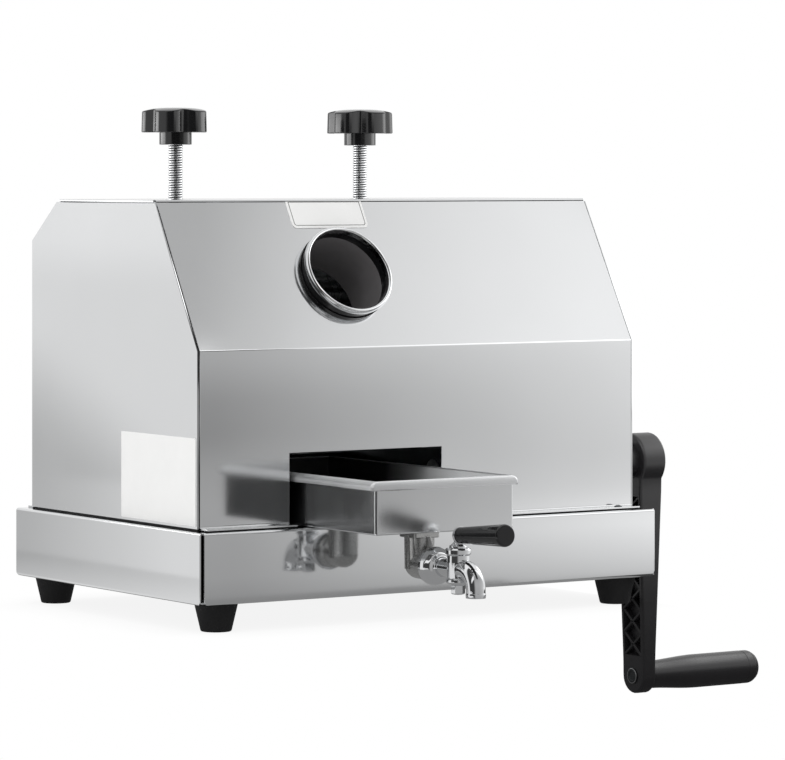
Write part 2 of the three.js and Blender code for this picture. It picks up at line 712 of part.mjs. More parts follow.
const sideLabel = () => roundedPlate(SIDE_LABEL_WIDTH, SIDE_LABEL_HEIGHT, 1.5)
  .rotateX(Math.PI / 2)
  .rotateZ(-Math.PI / 2)
  .translate(-HOUSING_HALF - SEAT_GAP, 0, 0);

const frontLabel = () => roundedPlate(FRONT_LABEL_WIDTH, FRONT_LABEL_HEIGHT, LABEL_CORNER)
  .translate(0, 0, SEAT_GAP);

// Frame

function framePlate(side) {
  const outline = [
    [FRAME_FRONT_Y, DECK_Z],
    [FRAME_REAR_Y, DECK_Z],
    [FRAME_REAR_Y, BOTTOM_ROLLER_Z + 22],
    [FRAME_REAR_Y - 14, FRAME_TOP_Z],
    [TOP_ROLLER_Y - BRIDGE_BOLT_SPACING / 2 - 22, FRAME_TOP_Z],
    [FRONT_ROLLER_Y - 42, BOTTOM_ROLLER_Z + 22],
    [FRAME_FRONT_Y, CRANK_Z + 32],
  ];
  const half = FRAME_PLATE / 2;
  const through = (radius, place) => rodX(radius, -FRAME_PLATE, FRAME_PLATE, place);
  const slotLow = TOP_ROLLER_Z - BLOCK_BELOW_AXIS - SEAT_GAP;
  const slot = boxBetween(
    [-FRAME_PLATE, TOP_ROLLER_Y - BLOCK_WIDTH / 2, slotLow],
    [FRAME_PLATE, TOP_ROLLER_Y + BLOCK_WIDTH / 2, FRAME_TOP_Z + 1],
  );
  const bushes = [FRONT_ROLLER_Y, REAR_ROLLER_Y].map((y) => (
    through(holeFor(BUSH_RADIUS, SEAT_GAP), [y, BOTTOM_ROLLER_Z])
  ));
  const bars = [FRONT_TIE_BAR_PLACE, REAR_TIE_BAR_PLACE].map((place) => (
    smallHoleX(TIE_BAR_END_RADIUS, -FRAME_PLATE, FRAME_PLATE, place)
  ));
  const bridgeBolts = [-1, 1].map((end) => smallHoleZ(
    BRIDGE_BOLT_RADIUS,
    FRAME_TOP_Z - BRIDGE_BOLT_GRIP - 1,
    FRAME_TOP_Z + 1,
    [0, TOP_ROLLER_Y + (end * BRIDGE_BOLT_SPACING) / 2],
    SEAT_GAP,
  ));
  const shaftHoles = side < 0 ? [] : [through(holeFor(CRANK_SHAFT_RADIUS), [CRANK_Y, CRANK_Z])];
  return cut(
    join(drawnAlongX(outline, -half, half), ...tenons([-half, half], FRAME_TENON_YS)),
    slot,
    ...bushes,
    ...bars,
    ...bridgeBolts,
    ...shaftHoles,
  );
}

function tieBar() {
  const half = CLEAR_BETWEEN_PLATES / 2 - GAP;
  const end = half + GAP + FRAME_PLATE + TIE_BAR_STAND_OUT;
  return turnedX([
    [0, -end],
    [TIE_BAR_END_RADIUS, -end],
    [TIE_BAR_END_RADIUS, -half],
    [TIE_BAR_RADIUS, -half],
    [TIE_BAR_RADIUS, half],
    [TIE_BAR_END_RADIUS, half],
    [TIE_BAR_END_RADIUS, end],
    [0, end],
  ], SMALL_SIDES);
}

function bridge() {
  const half = BRIDGE_BOLT_SPACING / 2 + BRIDGE_BOLT_EDGE;
  const block = boxBetween(
    [-BRIDGE_WIDTH / 2, -half, FRAME_TOP_Z],
    [BRIDGE_WIDTH / 2, half, BRIDGE_TOP_Z],
  );
  const hole = (radius, y, clearance) => (
    smallHoleZ(radius, FRAME_TOP_Z - 1, BRIDGE_TOP_Z + 1, [0, y], clearance)
  );
  return cut(
    block,
    hole(PRESSURE_SCREW_RADIUS, 0, GAP),
    hole(BRIDGE_BOLT_RADIUS, -BRIDGE_BOLT_SPACING / 2, SEAT_GAP),
    hole(BRIDGE_BOLT_RADIUS, BRIDGE_BOLT_SPACING / 2, SEAT_GAP),
  );
}

// A six sided head on a round shank, measured from the bridge's top
const bridgeBolt = () => join(
  rodZ(
    BRIDGE_BOLT_RADIUS,
    -BRIDGE_HEIGHT - BRIDGE_BOLT_GRIP,
    SEAT_GAP + BRIDGE_BOLT_HEAD_HEIGHT / 2,
    [0, 0],
    SMALL_SIDES,
  ),
  rodZ(BRIDGE_BOLT_HEAD_RADIUS, SEAT_GAP, SEAT_GAP + BRIDGE_BOLT_HEAD_HEIGHT, [0, 0], 6),
);

// A flanged bush about X, with its flange on the side given
function bush(side) {
  const half = FRAME_PLATE / 2;
  const bore = holeFor(JOURNAL_RADIUS);
  const profile = ringProfile([
    [bore, half + BUSH_FLANGE],
    [BUSH_FLANGE_RADIUS, half + BUSH_FLANGE],
    [BUSH_FLANGE_RADIUS, half + SEAT_GAP],
    [BUSH_RADIUS, half + SEAT_GAP],
    [BUSH_RADIUS, -half],
    [bore, -half],
  ]);
  return turnedX(profile.map(([radius, x]) => [radius, side * x]));
}

function gearPlate() {
  const outline = [
    [GEAR_PLATE_FRONT_Y, DECK_Z],
    [GEAR_PLATE_REAR_Y, DECK_Z],
    [GEAR_PLATE_REAR_Y, BOTTOM_ROLLER_Z + 12],
    [FRONT_ROLLER_Y + 26, BOTTOM_ROLLER_Z + 30],
    [FRONT_ROLLER_Y - 26, BOTTOM_ROLLER_Z + 30],
    [GEAR_PLATE_FRONT_Y, CRANK_Z + 28],
  ];
  const from = GEAR_PLATE_INNER_X;
  const to = GEAR_PLATE_OUTER_X;
  const through = (radius, place) => rodX(radius, from - 1, to + 1, place);
  return cut(
    join(drawnAlongX(outline, from, to), ...tenons([from, to], GEAR_PLATE_TENON_YS)),
    through(holeFor(CRANK_SHAFT_RADIUS), [CRANK_Y, CRANK_Z]),
    through(holeFor(JOURNAL_RADIUS), [FRONT_ROLLER_Y, BOTTOM_ROLLER_Z]),
  );
}

function crankPedestal() {
  const half = PEDESTAL_HALF_WIDTH;
  const outline = [
    [CRANK_Y - half, DECK_Z],
    [CRANK_Y + half, DECK_Z],
    ...arc([CRANK_Y, CRANK_Z], half, 0, Math.PI, 10),
  ];
  const faces = [PEDESTAL_INNER_X, PEDESTAL_OUTER_X];
  return cut(
    join(drawnAlongX(outline, ...faces), ...tenons(faces, [CRANK_Y])),
    rodX(
      holeFor(CRANK_SHAFT_RADIUS),
      PEDESTAL_INNER_X - 1,
      PEDESTAL_OUTER_X + 1,
      [CRANK_Y, CRANK_Z],
    ),
  );
}

// Sheets and plates round the rollers

function turnPlate() {
  const half = CLEAR_BETWEEN_PLATES / 2 - SEAT_GAP;
  const radius = ROLLER_RADIUS + TURN_PLATE_CLEARANCE;
  const down = -Math.PI / 2;
  const crown = arc(
    [TOP_ROLLER_Y, TOP_ROLLER_Z],
    radius,
    down - TURN_PLATE_HALF_ANGLE,
    down + TURN_PLATE_HALF_ANGLE,
    6,
  );
  const stem = TURN_PLATE_STEM / 2;
  return drawnAlongX([
    ...crown,
    [TOP_ROLLER_Y + stem, BOTTOM_ROLLER_Z + 9],
    [TOP_ROLLER_Y + stem, TURN_PLATE_BOTTOM_Z],
    [TOP_ROLLER_Y - stem, TURN_PLATE_BOTTOM_Z],
    [TOP_ROLLER_Y - stem, BOTTOM_ROLLER_Z + 9],
  ], -half, half);
}

function juiceGuide() {
  const half = CLEAR_BETWEEN_PLATES / 2 - GAP;
  const rear = [FRAME_REAR_Y - 2, GUIDE_REAR_Z];
  const front = [GUIDE_FRONT_Y, GUIDE_FRONT_Z];
  const wall = [
    [front[0], front[1] - 3],
    [rear[0], rear[1] - SHEET],
    [rear[0], rear[1] + GUIDE_WALL_HEIGHT],
    [front[0], front[1] + GUIDE_WALL_HEIGHT],
  ];
  return join(
    bentSheet([[front[0], front[1] - 5], front, rear], -half, half),
    drawnAlongX(wall, -half, -half + SHEET),
    drawnAlongX(wall, half - SHEET, half),
  );
}

// Height of the residue chute's floor at a depth
function residueFloor(y) {
  const share = (y - RESIDUE_FRONT_Y) / (RESIDUE_LIP_Y - RESIDUE_FRONT_Y);
  return RESIDUE_FRONT_Z + share * (RESIDUE_LIP_Z - RESIDUE_FRONT_Z);
}

function residueChute() {
  const half = RESIDUE_WIDTH / 2;
  const front = [RESIDUE_FRONT_Y, RESIDUE_FRONT_Z];
  const lip = [RESIDUE_LIP_Y, RESIDUE_LIP_Z];
  const wall = [
    [front[0], front[1] - SHEET],
    [lip[0], lip[1] - SHEET],
    [lip[0], lip[1] + RESIDUE_WALL_HEIGHT / 2],
    [REAR_Y - 10, residueFloor(REAR_Y - 10) + RESIDUE_WALL_HEIGHT],
    [front[0], front[1] + RESIDUE_WALL_HEIGHT],
  ];
  return join(
    bentSheet([front, lip], -half, half),
    drawnAlongX(wall, -half, -half + SHEET),
    drawnAlongX(wall, half - SHEET, half),
  );
}

// Rollers and gears

function roller(rightEnd) {
  const half = CLEAR_BETWEEN_PLATES / 2 - BUSH_FLANGE - ROLLER_END_PLAY;
  const step = (2 * Math.PI) / ROLLER_FLUTES;
  const outline = Array.from({ length: ROLLER_FLUTES }, (_, i) => [
    [ROLLER_RADIUS, (i - 0.28) * step],
    [ROLLER_RADIUS, (i + 0.28) * step],
    [ROLLER_RADIUS - ROLLER_FLUTE_DEPTH, (i + 0.5) * step],
  ]).flat().map(([radius, angle]) => [radius * Math.cos(angle), radius * Math.sin(angle)]);
  const leftEnd = -FRAME_HALF - FRAME_PLATE / 2 - JOURNAL_OVERHANG;
  return join(
    drawnAlongX(outline, -half, half),
    rodX(JOURNAL_RADIUS, leftEnd, rightEnd - FRAME_CENTRE_X),
  );
}

// The outline of a spur gear with one tooth centred on the angle given
function gearOutline(teeth, module, thinning, phase, flankSteps) {
  const pitch = (module * teeth) / 2;
  const base = pitch * Math.cos(PRESSURE_ANGLE);
  const tip = pitch + module;
  const root = pitch - 1.25 * module;
  const involute = (radius) => {
    const angle = Math.acos(Math.min(1, base / radius));
    return Math.tan(angle) - angle;
  };
  const halfTooth = ((Math.PI * module) / 2 - thinning) / (2 * pitch);
  const halfAt = (radius) => halfTooth + involute(pitch) - involute(Math.max(radius, base));
  const start = Math.max(root, base);
  const radii = Array.from({ length: flankSteps + 1 }, (_, i) => (
    start + ((tip - start) * i) / flankSteps
  ));
  if (root < base) radii.unshift(root);
  const step = (2 * Math.PI) / teeth;
  return Array.from({ length: teeth }, (_, i) => {
    const centre = phase + i * step;
    const rise = radii.map((radius) => [radius, centre - halfAt(radius)]);
    const fall = [...radii].reverse().map((radius) => [radius, centre + halfAt(radius)]);
    return [...rise, ...fall];
  }).flat().map(([radius, angle]) => [radius * Math.cos(angle), radius * Math.sin(angle)]);
}

// The phase of a gear that meshes with another one, seen along X, at the given direction
function meshPhase(phase, teeth, direction, otherTeeth) {
  return direction + Math.PI + (teeth * (direction - phase) - Math.PI) / otherTeeth;
}

const direction = (from, to) => Math.atan2(to[1] - from[1], to[0] - from[0]);
const FRONT_AXIS = [FRONT_ROLLER_Y, BOTTOM_ROLLER_Z];
const REAR_AXIS = [REAR_ROLLER_Y, BOTTOM_ROLLER_Z];
const TOP_AXIS = [TOP_ROLLER_Y, TOP_ROLLER_Z];
const CRANK_AXIS = [CRANK_Y, CRANK_Z];
const FRONT_GEAR_PHASE = direction(FRONT_AXIS, TOP_AXIS);
const TOP_GEAR_PHASE = meshPhase(
  FRONT_GEAR_PHASE,
  ROLLER_GEAR_TEETH,
  direction(FRONT_AXIS, TOP_AXIS),
  ROLLER_GEAR_TEETH,
);
const REAR_GEAR_PHASE = meshPhase(
  TOP_GEAR_PHASE,
  ROLLER_GEAR_TEETH,
  direction(TOP_AXIS, REAR_AXIS),
  ROLLER_GEAR_TEETH,
);
const DRIVE_GEAR_PHASE = direction(FRONT_AXIS, CRANK_AXIS);
const PINION_PHASE = meshPhase(
  DRIVE_GEAR_PHASE,
  DRIVE_TEETH,
  direction(FRONT_AXIS, CRANK_AXIS),
  PINION_TEETH,
);

function rollerGear(phase) {
  const outline = gearOutline(
    ROLLER_GEAR_TEETH,
    ROLLER_GEAR_MODULE,
    ROLLER_GEAR_THINNING,
    phase,
    2,
  );
  const from = ROLLER_GEAR_X - FRAME_CENTRE_X;
  const to = from + ROLLER_GEAR_WIDTH;
  return cut(
    join(drawnAlongX(outline, from, to), rodX(GEAR_HUB_RADIUS, from - GEAR_HUB_LENGTH, to - 1)),
    rodX(holeFor(JOURNAL_RADIUS, SEAT_GAP), from - GEAR_HUB_LENGTH - 1, to + 1),
  );
}

function driveGear() {
  const outline = gearOutline(DRIVE_TEETH, DRIVE_MODULE, DRIVE_THINNING, DRIVE_GEAR_PHASE, 1);
  const from = DRIVE_GEAR_X - FRAME_CENTRE_X;
  const to = from + DRIVE_WIDTH;
  const holes = Array.from({ length: DRIVE_WEB_HOLES }, (_, i) => {
    const angle = (i * 2 * Math.PI) / DRIVE_WEB_HOLES;
    const place = [DRIVE_WEB_CIRCLE * Math.cos(angle), DRIVE_WEB_CIRCLE * Math.sin(angle)];
    return rodX(DRIVE_WEB_HOLE_RADIUS, from - 1, to + 1, place, SMALL_SIDES);
  });
  return cut(
    join(drawnAlongX(outline, from, to), rodX(GEAR_HUB_RADIUS, from - GEAR_HUB_LENGTH, to)),
    rodX(holeFor(JOURNAL_RADIUS, SEAT_GAP), from - GEAR_HUB_LENGTH - 1, to + 1),
    ...holes,
  );
}

function pinionGear() {
  const outline = gearOutline(PINION_TEETH, DRIVE_MODULE, DRIVE_THINNING, PINION_PHASE, 2);
  const from = DRIVE_GEAR_X - PINION_OVERHANG;
  const to = DRIVE_GEAR_X + DRIVE_WIDTH + PINION_OVERHANG;
  return cut(
    drawnAlongX(outline, from, to),
    rodX(holeFor(CRANK_SHAFT_RADIUS, SEAT_GAP), from - 1, to + 1),
  );
}

// Lifting carriage of the top roller

function bearingBlock(side) {
  const half = FRAME_PLATE / 2;
  const width = BLOCK_WIDTH / 2 - GAP;
  const cheekWidth = BLOCK_WIDTH / 2 + BLOCK_CHEEK_OVERLAP;
  const faces = [side * (half - 1), side * (half + GAP + BLOCK_CHEEK)].sort((p, q) => p - q);
  const cheekFaces = [side * (half + GAP), side * (half + GAP + BLOCK_CHEEK)].sort((p, q) => p - q);
  const block = boxBetween(
    [-half, -width, -BLOCK_BELOW_AXIS],
    [half, width, BLOCK_ABOVE_AXIS],
  );
  const neck = boxBetween(
    [faces[0], -width, -BLOCK_BELOW_AXIS],
    [faces[1], width, BLOCK_ABOVE_AXIS],
  );
  const cheek = boxBetween(
    [cheekFaces[0], -cheekWidth, -BLOCK_BELOW_AXIS],
    [cheekFaces[1], cheekWidth, BLOCK_ABOVE_AXIS],
  );
  const bore = rodX(holeFor(JOURNAL_RADIUS), -2 * half, 2 * half);
  return cut(join(block, neck, cheek), bore);
}

function pressureScrew() {
  const low = BLOCK_TOP_Z + SEAT_GAP;
  const top = KNOB_BOTTOM_Z + KNOB_SOCKET_DEPTH - GAP;
  return turnedZ([
    [0, low],
    [PRESSURE_SCREW_RADIUS - PRESSURE_SCREW_TIP, low],
    [PRESSURE_SCREW_RADIUS, low + PRESSURE_SCREW_TIP],
    [PRESSURE_SCREW_RADIUS, top],
    [0, top],
  ], 16);
}

// A knob whose lobes are turned by some degrees from +X
function starKnob(turn) {
  const hubTop = KNOB_BOTTOM_Z + KNOB_HUB_HEIGHT;
  const headTop = hubTop + KNOB_HEAD_HEIGHT;
  const steps = KNOB_LOBES * 6;
  const mean = KNOB_RADIUS - KNOB_LOBE_DEPTH / 2 - KNOB_EDGE;
  const outline = Array.from({ length: steps }, (_, i) => {
    const angle = (i * 2 * Math.PI) / steps;
    const radius = mean + (KNOB_LOBE_DEPTH / 2) * Math.cos(KNOB_LOBES * angle);
    const place = angle + THREE.MathUtils.degToRad(turn);
    return new THREE.Vector2(radius * Math.cos(place), radius * Math.sin(place));
  });
  const head = new THREE.ExtrudeGeometry(new THREE.Shape(outline), {
    depth: KNOB_HEAD_HEIGHT - 2 * KNOB_EDGE,
    bevelThickness: KNOB_EDGE,
    bevelSize: KNOB_EDGE,
    bevelSegments: 1,
  }).translate(0, 0, hubTop + KNOB_EDGE);
  const domeRadius = mean - KNOB_LOBE_DEPTH;
  const dome = turnedZ([
    [0, headTop - KNOB_EDGE],
    [domeRadius, headTop - KNOB_EDGE],
    [domeRadius, headTop],
    [domeRadius * 0.6, headTop + KNOB_DOME_HEIGHT * 0.7],
    [0, headTop + KNOB_DOME_HEIGHT],
  ]);
  const hub = rodZ(KNOB_HUB_RADIUS, KNOB_BOTTOM_Z, hubTop + KNOB_EDGE);
  const socketTop = KNOB_BOTTOM_Z + KNOB_SOCKET_DEPTH;
  const socket = rodZ(holeFor(PRESSURE_SCREW_RADIUS), KNOB_BOTTOM_Z - 1, socketTop);
  return cut(join(head, dome, hub), socket);
}

// Crank

function crankShaft() {
  const outerEnd = CRANK_ARM_X + CRANK_HUB_THICKNESS / 2 - 0.5;
  const bar = rodX(CRANK_SHAFT_RADIUS, RIGHT_PLATE_X - FRAME_PLATE / 2 - 1, outerEnd);
  const thread = smallHoleX(
    CRANK_BOLT_RADIUS,
    outerEnd - CRANK_BOLT_DEPTH - 1,
    outerEnd + 1,
    [0, 0],
    SEAT_GAP,
  );
  return cut(bar, thread);
}

// Distances along the arm are measured down from the shaft, and X is measured from its middle
function crankArm() {
  const neckAngle = Math.asin(CRANK_NECK_HALF_WIDTH / CRANK_HUB_RADIUS);
  const outline = [
    ...arc([0, 0], CRANK_HUB_RADIUS, -Math.PI / 2 + neckAngle, 1.5 * Math.PI - neckAngle, 16),
    ...arc([0, -CRANK_RADIUS], CRANK_END_RADIUS, Math.PI, 2 * Math.PI, 10),
  ];
  const half = CRANK_HUB_THICKNESS / 2;
  const endHalf = CRANK_END_THICKNESS / 2;
  const bottom = CRANK_RADIUS + CRANK_END_RADIUS + 1;
  const thinFrom = CRANK_RADIUS - CRANK_END_RADIUS;
  const sideShape = new THREE.Shape([
    new THREE.Vector2(-half, CRANK_HUB_RADIUS + 1),
    new THREE.Vector2(-half, -CRANK_HUB_RADIUS),
    new THREE.Vector2(-endHalf, -thinFrom),
    new THREE.Vector2(-endHalf, -bottom),
    new THREE.Vector2(endHalf, -bottom),
    new THREE.Vector2(endHalf, -thinFrom),
    new THREE.Vector2(half, -CRANK_HUB_RADIUS),
    new THREE.Vector2(half, CRANK_HUB_RADIUS + 1),
  ]);
  const depth = 2 * CRANK_HUB_RADIUS + 2;
  const taper = new THREE.ExtrudeGeometry(sideShape, { depth, bevelEnabled: false })
    .rotateX(Math.PI / 2)
    .translate(0, depth / 2, 0);
  const boss = rodX(CRANK_BOSS_RADIUS, -half - CRANK_BOSS_LENGTH, 0);
  const body = join(common(drawnAlongX(outline, -half, half), taper), boss);
  const shaftHole = rodX(holeFor(CRANK_SHAFT_RADIUS, SEAT_GAP), -half - CRANK_BOSS_LENGTH - 1, half + 1);
  const pinHole = smallHoleX(GRIP_PIN_RADIUS, -half, half, [0, -CRANK_RADIUS]);
  return cut(body, shaftHole, pinHole, ...crankPockets());
}

// Three sided pockets between the slanting ribs of the arm's inner face
function crankPockets() {
  const from = CRANK_HUB_RADIUS + 8;
  const to = CRANK_RADIUS - CRANK_END_RADIUS - 3;
  const pitch = (to - from) / CRANK_POCKETS;
  const halfWidth = (down) => {
    const share = down / CRANK_RADIUS;
    const edge = CRANK_NECK_HALF_WIDTH + share * (CRANK_END_RADIUS - CRANK_NECK_HALF_WIDTH);
    return edge - CRANK_WALL;
  };
  return Array.from({ length: CRANK_POCKETS }, (_, i) => {
    const side = i % 2 ? 1 : -1;
    const top = from + i * pitch;
    const bottom = top + pitch;
    const middle = (top + bottom) / 2;
    const reach = pitch - 3;
    const outline = [
      [side * halfWidth(middle - reach), -(middle - reach)],
      [-side * halfWidth(middle), -middle],
      [side * halfWidth(middle + reach), -(middle + reach)],
    ];
    const ordered = side > 0 ? outline : [...outline].reverse();
    return closeSkin(drawnAlongX(ordered, -CRANK_HUB_THICKNESS, -CRANK_WEB / 2));
  });
}

function crankBolt() {
  const face = CRANK_HUB_THICKNESS / 2 + SEAT_GAP;
  return join(
    rodX(CRANK_BOLT_RADIUS, face - CRANK_BOLT_DEPTH, face + 1, [0, 0], SMALL_SIDES),
    rodX(CRANK_SHAFT_RADIUS + 3, face, face + 2),
    rodX(CRANK_BOLT_HEAD_RADIUS, face + 1, face + CRANK_BOLT_HEAD_HEIGHT, [0, 0], 6),
  );
}

function gripPin() {
  const inner = -CRANK_END_THICKNESS / 2 - SEAT_GAP;
  return turnedX([
    [0, inner - GRIP_PIN_HEAD_HEIGHT],
    [GRIP_PIN_HEAD_RADIUS, inner - GRIP_PIN_HEAD_HEIGHT],
    [GRIP_PIN_HEAD_RADIUS, inner],
    [GRIP_PIN_RADIUS, inner],
    [GRIP_PIN_RADIUS, PIN_TIP],
    [0, PIN_TIP],
  ], SMALL_SIDES);
}

function crankGrip() {
  const start = CRANK_END_THICKNESS / 2 + GAP;
  const end = start + GRIP_LENGTH;
  const bore = holeFor(GRIP_PIN_RADIUS);
  return turnedX([
    [0, PIN_TIP + GAP],
    [bore, PIN_TIP + GAP],
    [bore, start],
    [GRIP_ROOT_RADIUS, start],
    [GRIP_ROOT_RADIUS + 0.6, start + GRIP_LENGTH * 0.1],
    [GRIP_RADIUS - 0.6, start + GRIP_LENGTH * 0.3],
    [GRIP_RADIUS, start + GRIP_LENGTH * 0.45],
    [GRIP_RADIUS, end - 14],
    [GRIP_RADIUS - 1.8, end - 6],
    [GRIP_RADIUS - 5.5, end - 1.5],
    [GRIP_RADIUS - 9, end],
    [0, end],
  ]);
}

// Tray, elbow and tap

function juiceTray() {
  const half = TRAY_WIDTH / 2;
  const rear = TRAY_FRONT_Y + TRAY_LENGTH;
  const rimLow = TRAY_RIM_Z - TRAY_RIM_HEIGHT;
  const body = boxBetween([-half, TRAY_FRONT_Y, TRAY_BOTTOM_Z], [half, rear, TRAY_RIM_Z]);
  const rim = boxBetween(
    [-half - TRAY_RIM_SIDE, TRAY_FRONT_Y - TRAY_RIM_FRONT, rimLow],
    [half + TRAY_RIM_SIDE, rear + TRAY_RIM_FRONT, TRAY_RIM_Z],
  );
  const inside = boxBetween(
    [-half + SHEET, TRAY_FRONT_Y + SHEET, TRAY_BOTTOM_Z + SHEET],
    [half - SHEET, rear - SHEET, TRAY_RIM_Z + 1],
  );
  const stubLow = TRAY_BOTTOM_Z - OUTLET_STUB_LENGTH;
  const stub = rodZ(OUTLET_STUB_RADIUS, stubLow, TRAY_BOTTOM_Z + SHEET, [0, OUTLET_Y]);
  const drain = rodZ(OUTLET_BORE, stubLow - 1, TRAY_BOTTOM_Z + 2 * SHEET, [0, OUTLET_Y]);
  return cut(join(cut(join(body, rim), inside), stub), drain);
}

// The elbow takes the tray's outlet stub above, and the tail of the tap in front
function outletElbow() {
  const top = TRAY_BOTTOM_Z - GAP;
  const front = ELBOW_FRONT_Y - OUTLET_Y;
  const corner = new THREE.SphereGeometry(ELBOW_RADIUS, SIDES, 10).rotateX(Math.PI / 2);
  const body = join(
    rodZ(ELBOW_RADIUS, TAP_Z, top),
    rodY(ELBOW_RADIUS, front, 0, [0, TAP_Z]),
    corner.translate(0, 0, TAP_Z),
    rodZ(ELBOW_COLLAR_RADIUS, top - ELBOW_COLLAR_LENGTH, top),
    rodY(ELBOW_COLLAR_RADIUS, front, front + ELBOW_COLLAR_LENGTH, [0, TAP_Z]),
  );
  const stubEnd = TRAY_BOTTOM_Z - OUTLET_STUB_LENGTH - GAP;
  return cut(
    body,
    rodZ(OUTLET_BORE, TAP_Z, top + 1),
    rodZ(holeFor(OUTLET_STUB_RADIUS), stubEnd, top + 1),
    rodY(OUTLET_BORE, front - 1, 0, [0, TAP_Z]),
    rodY(holeFor(TAP_TAIL_RADIUS), front - 1, front + TAP_TAIL_ENGAGED + GAP, [0, TAP_Z]),
  );
}

// A straight run forward, a quarter turn down and a short straight end
function spoutTube(radius, sides, overrun) {
  const bendY = SPOUT_REACH - SPOUT_BEND;
  const turn = arc([bendY, TAP_Z - SPOUT_BEND], SPOUT_BEND, Math.PI / 2, 0, 4);
  const route = [[0, TAP_Z], ...turn, [SPOUT_REACH, SPOUT_END_Z - overrun]];
  const path = new THREE.CatmullRomCurve3(route.map(([forward, z]) => (
    new THREE.Vector3(0, -forward, z)
  )));
  const circle = arc([0, 0], radius, 0, 2 * Math.PI, sides).slice(0, -1);
  const shape = new THREE.Shape(circle.map(([u, v]) => new THREE.Vector2(u, v)));
  return new THREE.ExtrudeGeometry(shape, { steps: SPOUT_STEPS, extrudePath: path });
}

function tapBody() {
  const flangeY = ELBOW_FRONT_Y - GAP - TAP_Y;
  const tailEnd = flangeY + GAP + TAP_TAIL_ENGAGED;
  const flange = turnedForward([
    [0, 0],
    [TAP_FLANGE_RADIUS, 0],
    [TAP_FLANGE_RADIUS, TAP_FLANGE_THICKNESS],
    [TAP_FLANGE_RADIUS - 2, TAP_FLANGE_THICKNESS + 2.5],
    [TAP_FLANGE_NECK_RADIUS + 1, TAP_FLANGE_LENGTH - 3],
    [TAP_FLANGE_NECK_RADIUS, TAP_FLANGE_LENGTH],
    [0, TAP_FLANGE_LENGTH],
  ]);
  const body = join(
    rodZ(TAP_BARREL_RADIUS, TAP_BARREL_BOTTOM_Z, TAP_BARREL_TOP_Z),
    rodY(TAP_TAIL_RADIUS, 0, tailEnd, [0, TAP_Z]),
    flange.translate(0, flangeY, TAP_Z),
    spoutTube(SPOUT_RADIUS, SIDES, 0),
  );
  return cut(
    body,
    spoutTube(SPOUT_BORE, SMALL_SIDES, 1),
    rodY(OUTLET_BORE - 1, 0, tailEnd + 1, [0, TAP_Z]),
    rodZ(holeFor(TAP_PLUG_RADIUS), TAP_BARREL_BOTTOM_Z - 1, TAP_BARREL_TOP_Z + 1),
  );
}

function tapLever() {
  const capLow = TAP_BARREL_TOP_Z + GAP;
  const capTop = capLow + LEVER_CAP_HEIGHT;
  const plugLow = TAP_BARREL_BOTTOM_Z - LEVER_NUT_HEIGHT - 1;
  const plug = turnedZ([
    [0, plugLow],
    [TAP_PLUG_RADIUS - 2.5, plugLow],
    [TAP_PLUG_RADIUS - 2.5, TAP_BARREL_BOTTOM_Z],
    [TAP_PLUG_RADIUS, TAP_BARREL_BOTTOM_Z + 1],
    [TAP_PLUG_RADIUS, capLow],
    [LEVER_CAP_RADIUS, capLow],
    [LEVER_CAP_RADIUS, capTop - 1],
    [LEVER_CAP_RADIUS - 2, capTop],
    [0, capTop],
  ]);
  const stem = rodZ(
    LEVER_STEM_RADIUS,
    capTop - 1,
    LEVER_Z + LEVER_STEM_RADIUS,
    [0, 0],
    SMALL_SIDES,
  );
  const ferruleFrom = LEVER_GRIP_START - GAP - LEVER_FERRULE_LENGTH;
  const tangEnd = LEVER_GRIP_START + LEVER_TANG_LENGTH;
  const forward = join(
    turnedForward([
      [0, ferruleFrom],
      [LEVER_FERRULE_RADIUS - 2, ferruleFrom],
      [LEVER_FERRULE_RADIUS, ferruleFrom + 1],
      [LEVER_FERRULE_RADIUS, ferruleFrom + LEVER_FERRULE_LENGTH],
      [0, ferruleFrom + LEVER_FERRULE_LENGTH],
    ]),
    rodY(LEVER_TANG_RADIUS, -tangEnd, 0, [0, 0], SMALL_SIDES),
  );
  const port = rodY(TAP_PLUG_PORT_RADIUS, -TAP_BARREL_RADIUS, TAP_BARREL_RADIUS, [0, TAP_Z]);
  return cut(join(plug, stem, tilted(forward)), port);
}

// Lean a lever piece upwards towards the front
const tilted = (geometry) => geometry.rotateX(-LEVER_TILT).translate(0, 0, LEVER_Z);

function tapLeverGrip() {
  const start = LEVER_GRIP_START;
  const end = start + LEVER_GRIP_LENGTH;
  const bore = holeFor(LEVER_TANG_RADIUS);
  const tangEnd = start + LEVER_TANG_LENGTH + GAP;
  return tilted(turnedForward([
    [0, tangEnd],
    [bore, tangEnd],
    [bore, start],
    [LEVER_GRIP_ROOT_RADIUS - 0.6, start],
    [LEVER_GRIP_ROOT_RADIUS, start + 1],
    [LEVER_GRIP_END_RADIUS, end - 2],
    [LEVER_GRIP_END_RADIUS - 0.8, end - 0.4],
    [LEVER_GRIP_END_RADIUS - 2, end],
    [0, end],
  ]));
}

function leverNut() {
  const top = TAP_BARREL_BOTTOM_Z - GAP;
  return cut(
    rodZ(LEVER_NUT_RADIUS, top - LEVER_NUT_HEIGHT, top, [0, 0], 6),
    rodZ(holeFor(TAP_PLUG_RADIUS - 2.5), top - LEVER_NUT_HEIGHT - 1, top + 1),
  );
}

// Assembly

const base = groupAt(
  0,
  0,
  0,
  piece('base_pan', basePan(), stainless),
  piece('base_bottom_plate', baseBottomPlate(), satinSteel),
  ...Object.entries(CORNERS).map(([where, sides]) => {
    const [x, y] = footCentre(sides);
    return placed(piece(`foot_${where}`, foot(), rubber), x, y, 0);
  }),
);

